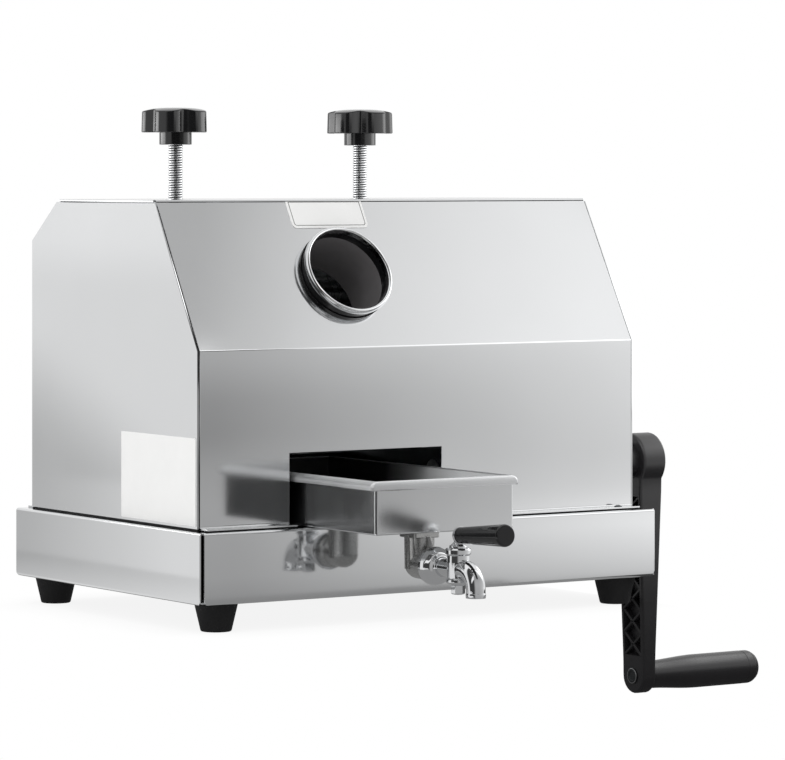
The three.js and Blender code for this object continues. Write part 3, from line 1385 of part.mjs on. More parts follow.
const housing = groupAt(
  0,
  0,
  0,
  piece('left_side_panel', sidePanel(-1), stainless),
  piece('right_side_panel', sidePanel(1), stainless),
  piece('front_panel', frontPanel(), stainless),
  piece('rear_panel', rearPanel(), stainless),
  piece('top_cover', topCover(), stainless),
  placed(
    piece('front_panel_screw', panelScrew(), satinSteel),
    ...SCREW_PLACE,
    DECK_Z + SHEET,
  ),
  placed(
    piece('side_label', sideLabel(), labelPaper),
    0,
    FRONT_Y + SIDE_LABEL_FRONT_INSET + SIDE_LABEL_WIDTH / 2,
    DECK_Z + SIDE_LABEL_BOTTOM_INSET + SIDE_LABEL_HEIGHT / 2,
  ),
  onFrontSlope(
    FRAME_CENTRE_X,
    RING_UP_SLOPE,
    piece('feed_ring', feedRing(), stainless),
    piece('feed_chute', feedChute(), satinSteel),
  ),
  onFrontSlope(
    FRONT_LABEL_CENTRE_X,
    SLOPE_LENGTH - COVER_LIP - COVER_SEAM - FRONT_LABEL_HEIGHT / 2,
    piece('front_label', frontLabel(), labelPaper),
  ),
);

const frame = groupAt(
  0,
  0,
  0,
  placed(piece('left_frame_plate', framePlate(-1), frameSteel), LEFT_PLATE_X, 0, 0),
  placed(piece('right_frame_plate', framePlate(1), frameSteel), RIGHT_PLATE_X, 0, 0),
  placed(
    piece('front_tie_bar', tieBar(), satinSteel),
    FRAME_CENTRE_X,
    ...FRONT_TIE_BAR_PLACE,
  ),
  placed(
    piece('rear_tie_bar', tieBar(), satinSteel),
    FRAME_CENTRE_X,
    ...REAR_TIE_BAR_PLACE,
  ),
  placed(piece('left_bridge', bridge(), frameSteel), LEFT_PLATE_X, TOP_ROLLER_Y, 0),
  placed(piece('right_bridge', bridge(), frameSteel), RIGHT_PLATE_X, TOP_ROLLER_Y, 0),
  ...Object.entries(CORNERS).map(([where, [sideX, sideY]]) => placed(
    piece(`bridge_bolt_${where}`, bridgeBolt(), darkSteel),
    FRAME_CENTRE_X + sideX * FRAME_HALF,
    TOP_ROLLER_Y + (sideY * BRIDGE_BOLT_SPACING) / 2,
    BRIDGE_TOP_Z,
  )),
  ...Object.entries(CORNERS).map(([where, [sideX, sideY]]) => placed(
    piece(`roller_bush_${where}`, bush(-sideX), bronze),
    FRAME_CENTRE_X + sideX * FRAME_HALF,
    TOP_ROLLER_Y + sideY * BOTTOM_ROLLER_OFFSET,
    BOTTOM_ROLLER_Z,
  )),
  piece('gear_plate', gearPlate(), frameSteel),
  piece('crank_pedestal', crankPedestal(), frameSteel),
  placed(piece('turn_plate', turnPlate(), satinSteel), FRAME_CENTRE_X, 0, 0),
  placed(piece('juice_guide', juiceGuide(), stainless), FRAME_CENTRE_X, 0, 0),
  placed(piece('residue_chute', residueChute(), stainless), FRAME_CENTRE_X, 0, 0),
);

const frontRoller = groupAt(
  FRAME_CENTRE_X,
  FRONT_ROLLER_Y,
  BOTTOM_ROLLER_Z,
  piece('bottom_front_roller', roller(GEAR_PLATE_OUTER_X + 2), satinSteel),
  piece('bottom_front_gear', rollerGear(FRONT_GEAR_PHASE), darkSteel),
  piece('drive_gear', driveGear(), darkSteel),
);

const rearRoller = groupAt(
  FRAME_CENTRE_X,
  REAR_ROLLER_Y,
  BOTTOM_ROLLER_Z,
  piece('bottom_rear_roller', roller(ROLLER_GEAR_X + ROLLER_GEAR_WIDTH + 3), satinSteel),
  piece('bottom_rear_gear', rollerGear(REAR_GEAR_PHASE), darkSteel),
);

const topRoller = groupAt(
  FRAME_CENTRE_X,
  TOP_ROLLER_Y,
  TOP_ROLLER_Z,
  piece('top_roller', roller(ROLLER_GEAR_X + ROLLER_GEAR_WIDTH + 3), satinSteel),
  piece('top_roller_gear', rollerGear(TOP_GEAR_PHASE), darkSteel),
);

const carriage = groupAt(
  FRAME_CENTRE_X,
  TOP_ROLLER_Y,
  TOP_ROLLER_Z,
  placed(piece('left_bearing_block', bearingBlock(-1), bronze), -FRAME_HALF, 0, 0),
  placed(piece('right_bearing_block', bearingBlock(1), bronze), FRAME_HALF, 0, 0),
);

const pressureScrews = ['left', 'right'].map((where) => groupAt(
  where === 'left' ? LEFT_PLATE_X : RIGHT_PLATE_X,
  TOP_ROLLER_Y,
  0,
  piece(`${where}_pressure_screw`, pressureScrew(), satinSteel),
  piece(`${where}_knob`, starKnob(where === 'left' ? LEFT_KNOB_TURN : RIGHT_KNOB_TURN), blackPlastic),
));

const crank = groupAt(
  0,
  CRANK_Y,
  CRANK_Z,
  piece('crank_shaft', crankShaft(), satinSteel),
  piece('pinion_gear', pinionGear(), darkSteel),
  placed(piece('crank_arm', crankArm(), blackPlastic), CRANK_ARM_X, 0, 0),
  placed(piece('crank_bolt', crankBolt(), darkSteel), CRANK_ARM_X, 0, 0),
  groupAt(
    CRANK_ARM_X,
    0,
    -CRANK_RADIUS,
    piece('grip_pin', gripPin(), satinSteel),
    piece('crank_grip', crankGrip(), gripPlastic),
  ),
);

const tapLeverGroup = groupAt(
  0,
  TAP_Y,
  0,
  piece('tap_lever', tapLever(), chrome),
  piece('tap_lever_grip', tapLeverGrip(), blackPlastic),
  piece('tap_lever_nut', leverNut(), darkSteel),
);

const tray = groupAt(
  TRAY_CENTRE_X,
  0,
  0,
  piece('juice_tray', juiceTray(), stainless),
  placed(piece('outlet_elbow', outletElbow(), castSteel), 0, OUTLET_Y, 0),
  placed(piece('tap_body', tapBody(), chrome), 0, TAP_Y, 0),
  tapLeverGroup,
);

const juicer = new THREE.Group();
juicer.add(
  base,
  housing,
  frame,
  frontRoller,
  rearRoller,
  topRoller,
  carriage,
  ...pressureScrews,
  crank,
  tray,
);

export default juicer;
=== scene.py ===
"""A hand cranked sugarcane juicer in polished stainless sheet, and the studio it stands in.

Shapes are worked out in millimetres and put into the meshes in metres.
+X is to the right, -Y is the front and +Z is up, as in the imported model.
"""

import json
import math

import bmesh
import bpy
import numpy as np
from bpy.props import FloatProperty, FloatVectorProperty, IntProperty, PointerProperty
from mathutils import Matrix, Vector

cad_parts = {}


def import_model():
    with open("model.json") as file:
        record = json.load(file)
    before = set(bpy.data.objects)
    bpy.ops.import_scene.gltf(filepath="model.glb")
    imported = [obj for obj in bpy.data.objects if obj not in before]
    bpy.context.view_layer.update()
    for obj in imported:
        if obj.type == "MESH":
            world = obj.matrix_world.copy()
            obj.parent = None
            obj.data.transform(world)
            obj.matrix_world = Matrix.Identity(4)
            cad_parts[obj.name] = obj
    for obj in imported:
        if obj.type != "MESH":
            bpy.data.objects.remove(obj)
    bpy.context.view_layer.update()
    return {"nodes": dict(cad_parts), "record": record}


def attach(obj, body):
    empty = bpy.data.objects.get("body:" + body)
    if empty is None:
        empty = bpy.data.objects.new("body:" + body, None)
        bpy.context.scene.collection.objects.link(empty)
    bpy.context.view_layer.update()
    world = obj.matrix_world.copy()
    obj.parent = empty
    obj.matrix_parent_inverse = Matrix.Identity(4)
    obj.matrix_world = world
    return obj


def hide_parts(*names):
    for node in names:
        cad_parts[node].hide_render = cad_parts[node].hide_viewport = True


bl_info = {
    "name": "Sugarcane juicer",
    "version": (1, 0, 0),
    "blender": (4, 5, 0),
    "location": "3D Viewport > Sidebar > Juicer",
    "description": "Builds the pieces and finishes of a hand cranked sugarcane juicer",
    "category": "Object",
}

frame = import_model()
MM = 0.001

# Sheet metal base and housing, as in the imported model
SHEET = 1.5
BASE_HALF = (255.0, 175.0)
BASE_LOW = 26.0
DECK = 91.0
HOUSING_HALF = 244.5
PANEL_HALF = 241.0
FRONT_Y = -150.5
REAR_Y = 159.5
FRONT_BEND = 253.0
REAR_BEND = 349.0
TOP = 389.0
TOP_FRONT_Y = -72.5
TOP_REAR_Y = 107.5
COVER_LIP = 2.0
COVER_SEAM = 0.8
STRIP = 1.4
FLANGE = 14.0
SHADE_STRIP_EDGE = 0.1
FRAME_X = -64.0
SLOT_HALF = 84.0
SLOT_TOP = 158.0
REAR_OPENING = (228.8, 318.0)
REAR_OPENING_HALF = 82.3

# Directions, and a point well inside the housing
RIGHT, FORWARD, UP = (1, 0, 0), (0, -1, 0), (0, 0, 1)
INSIDE = (0.0, 0.0, 200.0)

# The sloping front: a unit step up it, and the direction straight out of it
SLOPE_LENGTH = math.hypot(TOP_FRONT_Y - FRONT_Y, TOP - FRONT_BEND)
UP_SLOPE = np.array([(TOP_FRONT_Y - FRONT_Y) / SLOPE_LENGTH, (TOP - FRONT_BEND) / SLOPE_LENGTH])
OUT_OF_SLOPE = np.array([0.0, -UP_SLOPE[1], UP_SLOPE[0]])
SLOPE_END = SLOPE_LENGTH - COVER_LIP - COVER_SEAM
RING_UP_SLOPE = 75.0
RING_HOLE = 44.8
LABEL_X = -61.2

# Crank, tray, tap and pressure screws
CRANK_AXIS = (-120.827, 134.0)
CRANK_ARM_X = 275.0
CRANK_RADIUS = 210.0
CRANK_HUB = (CRANK_ARM_X, *CRANK_AXIS)
GRIP_PIN = (CRANK_ARM_X, CRANK_AXIS[0], CRANK_AXIS[1] - CRANK_RADIUS)
ARM_HUB, ARM_NECK, ARM_END = 26.5, 20.0, 17.0
TRAY_X = -62.5
TRAY_LOW = 91.3
OUTLET_Y = -238.0
OUTLET = (TRAY_X, OUTLET_Y, 0)
TAP_Y = -300.0
TAP_Z = 59.5
TAP_PLUG = (TRAY_X, TAP_Y, 0)
SCREW_XS = {"left": -168.0, "right": 40.0}
KNOB_TURNS = {"left": 5.4, "right": -15.2}
SCREW_Y = 17.5
SCREW_RADIUS = 7.0
THREAD_DEPTH = 0.95


# Meshes

def grid(points, round_columns=False, round_rows=False):
    """Joins each point of a rows by columns grid to its neighbours; either way may close on itself."""
    rows, columns = points.shape[:2]
    r = np.arange(rows if round_rows else rows - 1)[:, None]
    c = np.arange(columns if round_columns else columns - 1)[None, :]
    r2, c2 = (r + 1) % rows, (c + 1) % columns
    faces = np.stack([r * columns + c, r * columns + c2, r2 * columns + c2, r2 * columns + c], -1)
    return points.reshape(-1, 3), faces.reshape(-1, 4).tolist()


def lid(ring):
    """One flat face over a closed ring of points."""
    return ring, [list(range(len(ring)))]


def together(skins):
    """Several skins as one list of points and faces."""
    starts = np.cumsum([0] + [len(points) for points, _ in skins])
    faces = [[start + i for i in face] for start, (_, group) in zip(starts, skins) for face in group]
    return np.concatenate([points for points, _ in skins]), faces


def put(name, data):
    """An object of a mesh, a camera or a lamp, in the scene."""
    item = bpy.data.objects.new(name, data)
    bpy.context.scene.collection.objects.link(item)
    return item


def make(name, skins, body, nodes, slot, sheet=0.0, edge=0.0, crease=35.0, outward_from=None, look=None):
    """Makes a piece from its skins, welds it, turns its faces outwards and gives it its finish.

    A sheet thickness grows inwards from the skin, and sharp edges are broken by the edge width. The look
    is the finish where it isn't the slot's own.
    """
    points, faces = together(skins)
    mesh = bpy.data.meshes.new(name)
    mesh.from_pydata((points * MM).tolist(), [], faces)
    work = bmesh.new()
    work.from_mesh(mesh)
    bmesh.ops.remove_doubles(work, verts=work.verts, dist=0.002 * MM)
    bmesh.ops.recalc_face_normals(work, faces=work.faces)
    work.to_mesh(mesh)
    work.free()
    if outward_from is not None:
        count = len(mesh.polygons)
        centre, normal, area = np.empty(count * 3), np.empty(count * 3), np.empty(count)
        mesh.polygons.foreach_get("center", centre)
        mesh.polygons.foreach_get("normal", normal)
        mesh.polygons.foreach_get("area", area)
        away = centre.reshape(-1, 3) - np.array(outward_from) * MM
        if (area * (away * normal.reshape(-1, 3)).sum(1)).sum() < 0:
            mesh.flip_normals()
    mesh.shade_smooth()
    mesh.set_sharp_from_angle(angle=math.radians(crease))
    piece = put(name, mesh)
    if sheet:
        thick = piece.modifiers.new("sheet", "SOLIDIFY")
        thick.thickness = sheet * MM
        thick.offset = -1
        thick.use_even_offset = True
    if edge:
        soft = piece.modifiers.new("edge", "BEVEL")
        soft.width = edge * MM
        soft.segments = 2
        soft.limit_method = "ANGLE"
        soft.angle_limit = math.radians(crease)
        soft.harden_normals = True
    flats = piece.modifiers.new("flats", "WEIGHTED_NORMAL")
    flats.keep_sharp = True
    flats.weight = 100
    piece.data.materials.append(finish(look or slot))
    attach(piece, body)
    if nodes:
        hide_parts(*nodes)
    return piece


def rounded(points, radii, steps=5):
    """A bent line in a plane whose inner corners are arcs, each from a tangent point to the next.

    An arc of radius r at a corner that turns by an angle starts r tan(angle / 2) before it.
    """
    points = [np.array(p, float) for p in points]
    radii = np.broadcast_to(radii, len(points) - 2)
    line = [points[0][None]]
    for before, corner, after, radius in zip(points, points[1:], points[2:], radii):
        u = (corner - before) / np.linalg.norm(corner - before)
        v = (after - corner) / np.linalg.norm(after - corner)
        turn = math.atan2(u[0] * v[1] - u[1] * v[0], u @ v)
        if radius == 0:
            line.append(corner[None])
            continue
        reach = radius * math.tan(abs(turn) / 2)
        centre = corner - u * reach + np.array([-u[1], u[0]]) * math.copysign(radius, turn)
        spoke = corner - u * reach - centre
        angles = np.linspace(0, turn, steps + 1)
        cos, sin = np.cos(angles), np.sin(angles)
        arc = np.stack([spoke[0] * cos - spoke[1] * sin, spoke[0] * sin + spoke[1] * cos], -1)
        line.append(centre + arc)
    line.append(points[-1][None])
    return np.concatenate(line)


def lengths_along(line):
    """The distance travelled along a line at each of its points."""
    return np.concatenate([[0], np.cumsum(np.linalg.norm(np.diff(line, axis=0), axis=1))])


def smooth(value):
    """0 to 1 as 3t squared less 2t cubed, held at both ends."""
    t = np.clip(value, 0, 1)
    return t * t * (3 - 2 * t)


def turned(profile, origin, along, steps=64):
    """A lathe surface: [radius, distance] points swept round an axis through the origin."""
    profile = np.asarray(profile, float)
    axis = np.array(along, float) / np.linalg.norm(along)
    side = np.cross(axis, [0, 0, 1] if abs(axis[2]) < 0.9 else [1, 0, 0])
    side /= np.linalg.norm(side)
    other = np.cross(axis, side)
    angle = np.linspace(0, 2 * np.pi, steps, endpoint=False)
    spoke = np.cos(angle)[:, None] * side + np.sin(angle)[:, None] * other
    points = origin + profile[:, 1, None, None] * axis + profile[:, 0, None, None] * spoke
    return grid(points, round_columns=True)


def lathe_ring(profile, origin, along, steps=64):
    """A lathe surface whose profile closes on itself."""
    profile = np.asarray(profile, float)
    return turned(np.concatenate([profile, profile[:1]]), origin, along, steps)


def carried_circle(path, radii, steps=48):
    """A tube: a circle of the radius given at each point of a path, square to the path there."""
    path = np.asarray(path, float)
    ahead = np.gradient(path, axis=0)
    ahead /= np.linalg.norm(ahead, axis=1)[:, None]
    side = np.cross(ahead, [1.0, 0.0, 0.0])
    side /= np.linalg.norm(side, axis=1)[:, None]
    other = np.cross(ahead, side)
    angle = np.linspace(0, 2 * np.pi, steps, endpoint=False)[None, :, None]
    spoke = np.cos(angle) * side[:, None] + np.sin(angle) * other[:, None]
    return path[:, None] + np.broadcast_to(radii, len(path))[:, None, None] * spoke


def box_ring(half_x, half_y, centre, corner, z, steps=5):
    """A level rectangle with round corners, of one radius or four: quarter circles of the same points."""
    quarter = np.linspace(0, np.pi / 2, steps + 1)
    angle = (quarter[None] + np.arange(4)[:, None] * np.pi / 2).ravel()
    middle = np.arange(4).repeat(steps + 1)
    corner = np.broadcast_to(corner, 4)[middle]
    sx = np.array([1, -1, -1, 1])[middle] * (half_x - corner)
    sy = np.array([1, 1, -1, -1])[middle] * (half_y - corner)
    x = centre[0] + sx + corner * np.cos(angle)
    y = centre[1] + sy + corner * np.sin(angle)
    return np.stack([x, y, np.full(x.shape, float(z))], -1)


def rectangle(y0, y1, z0, z1):
    """The four corners of a rectangle in Y and Z."""
    return [(y0, z0), (y1, z0), (y1, z1), (y0, z1)]


def plate_yz(outline, x0, x1, edge):
    """A plate across X: its outline in Y and Z, with both rims broken at 45 degrees, and flat faces."""
    outline = np.asarray(outline, float)
    before, after = np.roll(outline, 1, 0), np.roll(outline, -1, 0)
    a = outline - before
    b = after - outline
    a /= np.linalg.norm(a, axis=1)[:, None]
    b /= np.linalg.norm(b, axis=1)[:, None]
    left = np.stack([-a[:, 1] - b[:, 1], a[:, 0] + b[:, 0]], -1)
    inner = outline + edge * left / (1 + (a * b).sum(1))[:, None]
    rows = [(inner, x0), (outline, x0 + edge), (outline, x1 - edge), (inner, x1)]
    rings = np.stack([np.column_stack([np.full(len(o), x), o]) for o, x in rows])
    return [grid(rings, round_columns=True), lid(rings[0]), lid(rings[-1])]


def pierced(us, vs, windows=(), rounds=(), parts=8):
    """A flat sheet in its own u and v as a grid, less its windows, with round holes in square patches.

    A patch blends from the square round a hole to the hole's circle, at the same angles.
    """
    us, vs = [np.asarray(us, float)], [np.asarray(vs, float)]
    for u0, u1, v0, v1 in windows:
        us.append([u0, u1])
        vs.append([v0, v1])
    for u, v, half, _ in rounds:
        us.append(np.linspace(u - half, u + half, parts + 1))
        vs.append(np.linspace(v - half, v + half, parts + 1))
    us = np.unique(np.round(np.concatenate(us), 6))
    vs = np.unique(np.round(np.concatenate(vs), 6))
    u, v = np.meshgrid(us, vs)
    mid_u = (us[1:] + us[:-1]) / 2
    mid_v = (vs[1:] + vs[:-1]) / 2
    keep = np.ones((len(mid_v), len(mid_u)), bool)
    squares = [(cu - half, cu + half, cv - half, cv + half) for cu, cv, half, _ in rounds]
    for u0, u1, v0, v1 in [*windows, *squares]:
        keep &= ~(((mid_u > u0) & (mid_u < u1))[None] & ((mid_v > v0) & (mid_v < v1))[:, None])
    r, c = np.nonzero(keep)
    columns = len(us)
    faces = np.stack([r * columns + c, r * columns + c + 1, (r + 1) * columns + c + 1,
                      (r + 1) * columns + c], -1)
    used, faces = np.unique(faces, return_inverse=True)
    flat = np.stack([u.ravel(), v.ravel(), np.zeros(u.size)], -1)[used]
    skins = [(flat, faces.reshape(-1, 4).tolist())]
    for cu, cv, half, radius in rounds:
        side = np.linspace(-half, half, parts + 1)[:-1]
        full = np.full(parts, half)
        square = np.stack([np.concatenate([side, full, -side, -full]),
                           np.concatenate([-full, side, full, -side])], -1)
        circle = radius * square / np.linalg.norm(square, axis=1)[:, None]
        blend = np.linspace(0, 1, 4)[:, None, None] ** 0.7
        rings = square * (1 - blend) + circle * blend
        rings = np.concatenate([rings + [cu, cv], np.zeros(rings.shape[:2] + (1,))], -1)
        skins.append(grid(rings, round_columns=True))
    return together(skins)


def bent_along_x(flat, line):
    """Bends a flat sheet: u becomes X, and v is the distance along a line in Y and Z."""
    points, faces = flat
    run = lengths_along(line)
    y = np.interp(points[:, 1], run, line[:, 0])
    z = np.interp(points[:, 1], run, line[:, 1])
    return np.stack([points[:, 0], y, z], -1), faces


def on_slope(x, up, out=0.0):
    """The place of a point of the sloping front, from its X, its way up the slope and its way out."""
    y, z = np.array([FRONT_Y, FRONT_BEND]) + UP_SLOPE * up
    return np.array([x, y, z]) + OUT_OF_SLOPE * out


# Finishes

METAL = {"Metallic": 1.0}
NOISE_LOW, NOISE_HIGH = 0.3, 0.7


def linear(hex_code):
    """A colour written as sRGB hex, in linear light.

    A channel c becomes c / 12.92 up to 0.04045, and ((c + 0.055) / 1.055) to the power of 2.4 above it.
    """
    c = np.array([int(hex_code[i:i + 2], 16) for i in (1, 3, 5)]) / 255
    return (*np.where(c <= 0.04045, c / 12.92, ((c + 0.055) / 1.055) ** 2.4), 1.0)


def add(tree, kind, settings=None, links=None):
    """Adds a node, gives its sockets and properties their values, and links sockets to outputs."""
    node = tree.nodes.new(kind)
    for key, value in (settings or {}).items():
        if isinstance(key, int) or key in node.inputs:
            node.inputs[key].default_value = value
        else:
            setattr(node, key, value)
    for key, output in (links or {}).items():
        tree.links.new(output, node.inputs[key])
    return node


def darker(colour, share):
    """A linear colour made darker by a share, and the colour itself."""
    return [*(c * (1 - share) for c in colour[:3]), 1.0], colour


def surface(tree, look, colours, colour_by, rough, rough_by, bump_by=None, depth_mm=0.0):
    """A Principled surface whose colour and roughness each run from one value to another by a pattern.

    A pattern is a noise on Object coordinates: the length of its features in millimetres, its detail and,
    where it is drawn out, how far along each axis. In place of one, a node's output is used as it is.
    The bump is as deep as the millimetres given.
    """
    place = add(tree, "ShaderNodeTexCoord").outputs["Object"]
    patterns = []
    for pattern in (colour_by, rough_by, bump_by):
        if isinstance(pattern, tuple):
            size_mm, detail, *stretch = pattern
            scale = [1 / times for times in stretch or (1, 1, 1)]
            drawn = add(tree, "ShaderNodeMapping", {"Scale": scale}, {"Vector": place})
            noise = add(tree, "ShaderNodeTexNoise", {"Scale": 1 / (size_mm * MM), "Detail": detail},
                        {"Vector": drawn.outputs[0]})
            pattern = noise.outputs[0]
        patterns.append(pattern)
    low, high = (linear(c) if isinstance(c, str) else tuple(c) for c in colours)
    colour = add(tree, "ShaderNodeMix", {"data_type": "RGBA", 6: low, 7: high}, {0: patterns[0]})
    roughness = add(tree, "ShaderNodeMapRange",
                    {"From Min": NOISE_LOW, "From Max": NOISE_HIGH, "To Min": rough[0], "To Max": rough[1]},
                    {"Value": patterns[1]})
    links = {"Base Color": colour.outputs[2], "Roughness": roughness.outputs[0]}
    if bump_by is not None:
        bump = add(tree, "ShaderNodeBump", {"Distance": depth_mm * MM}, {"Height": patterns[2]})
        links["Normal"] = bump.outputs[0]
    principled = add(tree, "ShaderNodeBsdfPrincipled", look, links)
    add(tree, "ShaderNodeOutputMaterial", {}, {"Surface": principled.outputs[0]})


# Grain, tool marks and moulding texture are finer than this on the real pieces. They are drawn at 0.5 mm
# and more, because anything finer doesn't show in the render.

def mop_polished_stainless(tree, settings):
    """Type 304 stainless sheet, bright annealed and mop polished.

    A soft mirror: reflections keep their shapes but lose their edges, with drifts of haze.
    """
    haze = (90.0, 3.0)
    rough = settings.sheet_roughness
    surface(tree, METAL, darker(settings.sheet_colour, 0.04), haze, (rough * 0.85, rough * 1.15), haze,
            (160.0, 1.0), 0.12)


def mirror_buffed_stainless(tree, settings):
    """The same sheet buffed to a mirror, as on the base: sharp reflections that ripple a little."""
    haze = (70.0, 3.0)
    surface(tree, METAL, darker(settings.sheet_colour, 0.03), haze, (0.05, 0.08), haze, (120.0, 1.0), 0.10)


def satin_polished_stainless(tree, settings):
    """The same sheet folded after a satin polish, as on the tray: only large soft shapes show in it."""
    haze = (40.0, 3.0)
    surface(tree, METAL, darker(settings.sheet_colour, 0.04), haze, (0.17, 0.23), haze, (60.0, 1.0), 0.08)


def rolled_stainless(tree, settings):
    """Cold rolled stainless left unpolished, as on the tray's rim: pale grey, without sharp reflections."""
    haze = (30.0, 2.0)
    surface(tree, METAL, darker(settings.sheet_colour, 0.03), haze, (0.44, 0.52), haze)


def juice_dulled_stainless_with_painted_shade(tree, settings):
    """Pickled stainless under a dried juice film, inside the tray: matt, with painted shade towards the
    rollers.
    """
    place = add(tree, "ShaderNodeTexCoord").outputs["Object"]
    _, y, _ = add(tree, "ShaderNodeSeparateXYZ", {}, {0: place}).outputs
    # Painted shade: the colour runs from the clean sheet to near black as Y goes from -200 to -70 mm, into
    # the housing.
    film = add(tree, "ShaderNodeMapRange", {"From Min": -0.2, "From Max": -0.07}, {"Value": y}).outputs[0]
    dark, clean = darker(settings.sheet_colour, 0.97)
    surface(tree, {"Metallic": 0.2}, (clean, dark), film, (0.5, 0.6), (12.0, 3.0))


def turned_bright_steel(tree, settings):
    """Bright steel turned on a lathe or cut as sheet: satin, with fine tool rings across its length."""
    rings = (0.6, 1.0, 1, 40, 40)
    surface(tree, METAL, ("#bfc0c1", "#cbcccd"), (20.0, 2.0), (0.26, 0.38), rings, rings, 0.01)


def rolled_zinc_plated_steel(tree, settings):
    """Zinc plated screw steel with a rolled thread: bright crests, and painted shade darkening the roots."""
    # Painted shade: the deeper into the thread, the nearer the colour comes to dark grey.
    root = add(tree, "ShaderNodeAttribute", {"attribute_name": "root"}).outputs["Fac"]
    painted_root_shade = add(tree, "ShaderNodeMapRange", {"From Min": 0.1, "From Max": 0.9}, {"Value": root}).outputs[0]
    surface(tree, METAL, ("#e6e7e8", "#3c3d3f"), painted_root_shade, (0.2, 0.28), (5.0, 2.0))


def oiled_cut_steel(tree, settings):
    """Cut gear and bolt steel with a film of oil: dark grey with a dull shine and darker patches."""
    stain = (12.0, 4.0)
    surface(tree, METAL, ("#4d5053", "#666869"), stain, (0.32, 0.5), stain, (0.5, 2.0), 0.01)


def blackened_steel_tube(tree, settings):
    """Blacked steel tube with a film of dried juice: a matt charcoal that light dies away in."""
    film = (14.0, 3.0)
    surface(tree, {"Specular IOR Level": 0.4}, ("#5c5a5b", "#6a6869"), film, (0.5, 0.65), film)


def milled_mild_steel(tree, settings):
    """Mild steel plate with milled faces: grey, with cutter marks along its length."""
    marks = (1.4, 2.0, 1, 30, 1)
    surface(tree, METAL, ("#5b5e61", "#737577"), (25.0, 3.0), (0.34, 0.52), marks, marks, 0.015)


def turned_tin_bronze(tree, settings):
    """Tin bronze, turned and worn in: warm brown gold with dull patches."""
    wear = (9.0, 3.0)
    surface(tree, METAL, ("#9c7a45", "#b8935a"), wear, (0.3, 0.46), wear, (0.6, 2.0), 0.01)


def investment_cast_stainless(tree, settings):
    """Investment cast stainless, tumbled: a satin skin with a fine sand texture."""
    sand = (0.9, 3.0)
    surface(tree, METAL, ("#b4b4b3", "#c6c6c5"), (8.0, 3.0), (0.24, 0.36), sand, sand, 0.05)


def buffed_chrome_plate(tree, settings):
    """Chromium over nickel on polished brass: a full mirror, with only slight ripples from the buffing."""
    surface(tree, METAL, ("#e2e3e5", "#e8e9ea"), (10.0, 2.0), (0.03, 0.07), (6.0, 2.0), (12.0, 1.0), 0.02)


def moulded_nitrile_rubber(tree, settings):
    """Black nitrile rubber, compression moulded: flat black with a faint bloom."""
    bloom = (14.0, 3.0)
    surface(tree, {"Specular IOR Level": 0.12}, ("#161616", "#1d1d1e"), bloom, (0.55, 0.75), bloom,
            (0.7, 2.0), 0.03)


def hot_pressed_phenolic(tree, settings):
    """Phenolic resin, hot pressed in a polished tool: deep black, glossy, bright only at a glance."""
    surface(tree, {}, darker(settings.plastic_colour, 0.3), (10.0, 2.0), (0.1, 0.17), (4.0, 3.0),
            (0.8, 2.0), 0.003)


def moulded_glass_filled_nylon(tree, settings):
    """Glass filled nylon, injection moulded in an eroded tool: charcoal with a fine even grain."""
    surface(tree, {"Specular IOR Level": 0.6}, darker(settings.crank_colour, 0.25), (16.0, 3.0),
            (0.3, 0.38), (1.2, 2.0), (0.6, 2.0), 0.008)


def matt_polyester_film(tree, settings):
    """White polyester label film with a matt varnish."""
    surface(tree, {}, darker(settings.label_colour, 0.05), (18.0, 2.0), (0.45, 0.55), (5.0, 2.0),
            (1.0, 2.0), 0.004)


def screen_printed_ink(tree, settings):
    """Screen printed black ink: a little duller than the film it lies on."""
    surface(tree, {}, ("#3a3a3a", "#484848"), (2.0, 2.0), (0.5, 0.6), (1.0, 2.0))


FINISHES = {
    "polished_stainless": mop_polished_stainless,
    "mirror_stainless": mirror_buffed_stainless,
    "satin_stainless": satin_polished_stainless,
    "tray_inside": juice_dulled_stainless_with_painted_shade,
    "tray_rim": rolled_stainless,
    "satin_steel": turned_bright_steel,
    "threaded_steel": rolled_zinc_plated_steel,
    "dark_steel": oiled_cut_steel,
    "black_oxide": blackened_steel_tube,
    "frame_steel": milled_mild_steel,
    "bronze": turned_tin_bronze,
    "cast_stainless": investment_cast_stainless,
    "tap_chrome": buffed_chrome_plate,
    "foot_rubber": moulded_nitrile_rubber,
    "black_plastic": hot_pressed_phenolic,
    "arm_nylon": moulded_glass_filled_nylon,
    "label_film": matt_polyester_film,
    "printed_line": screen_printed_ink,
}


def blank_material(name):
    """A new material without nodes, and its tree."""
    material = bpy.data.materials.new(name)
    material.use_nodes = True
    material.node_tree.nodes.clear()
    return material, material.node_tree


def finish(name):
    """The material of a finish, made when it is first asked for and named after its recipe."""
    recipe = FINISHES[name]
    if recipe.__name__ not in bpy.data.materials:
        _, tree = blank_material(recipe.__name__)
        recipe(tree, bpy.context.scene.juicer)
    return bpy.data.materials[recipe.__name__]


# Base and housing

def folded_skirt(line, half_lengths, side, centre=(0.0, 0.0)):
    """A wall folded off one side of a lid: a line of outward distance and height, drawn out to both sides.

    Side 0 faces the front, 1 the right, 2 the rear and 3 the left.
    """
    along = np.asarray(half_lengths, float)[:, None] * np.array([-1.0, 1.0])
    out = np.repeat(line[:, :1], 2, 1)
    x, y = [(along, -out), (out, along), (-along, out), (-out, -along)][side]
    z = np.repeat(line[:, 1:], 2, 1)
    return grid(np.stack([x + centre[0], y + centre[1], z], -1))


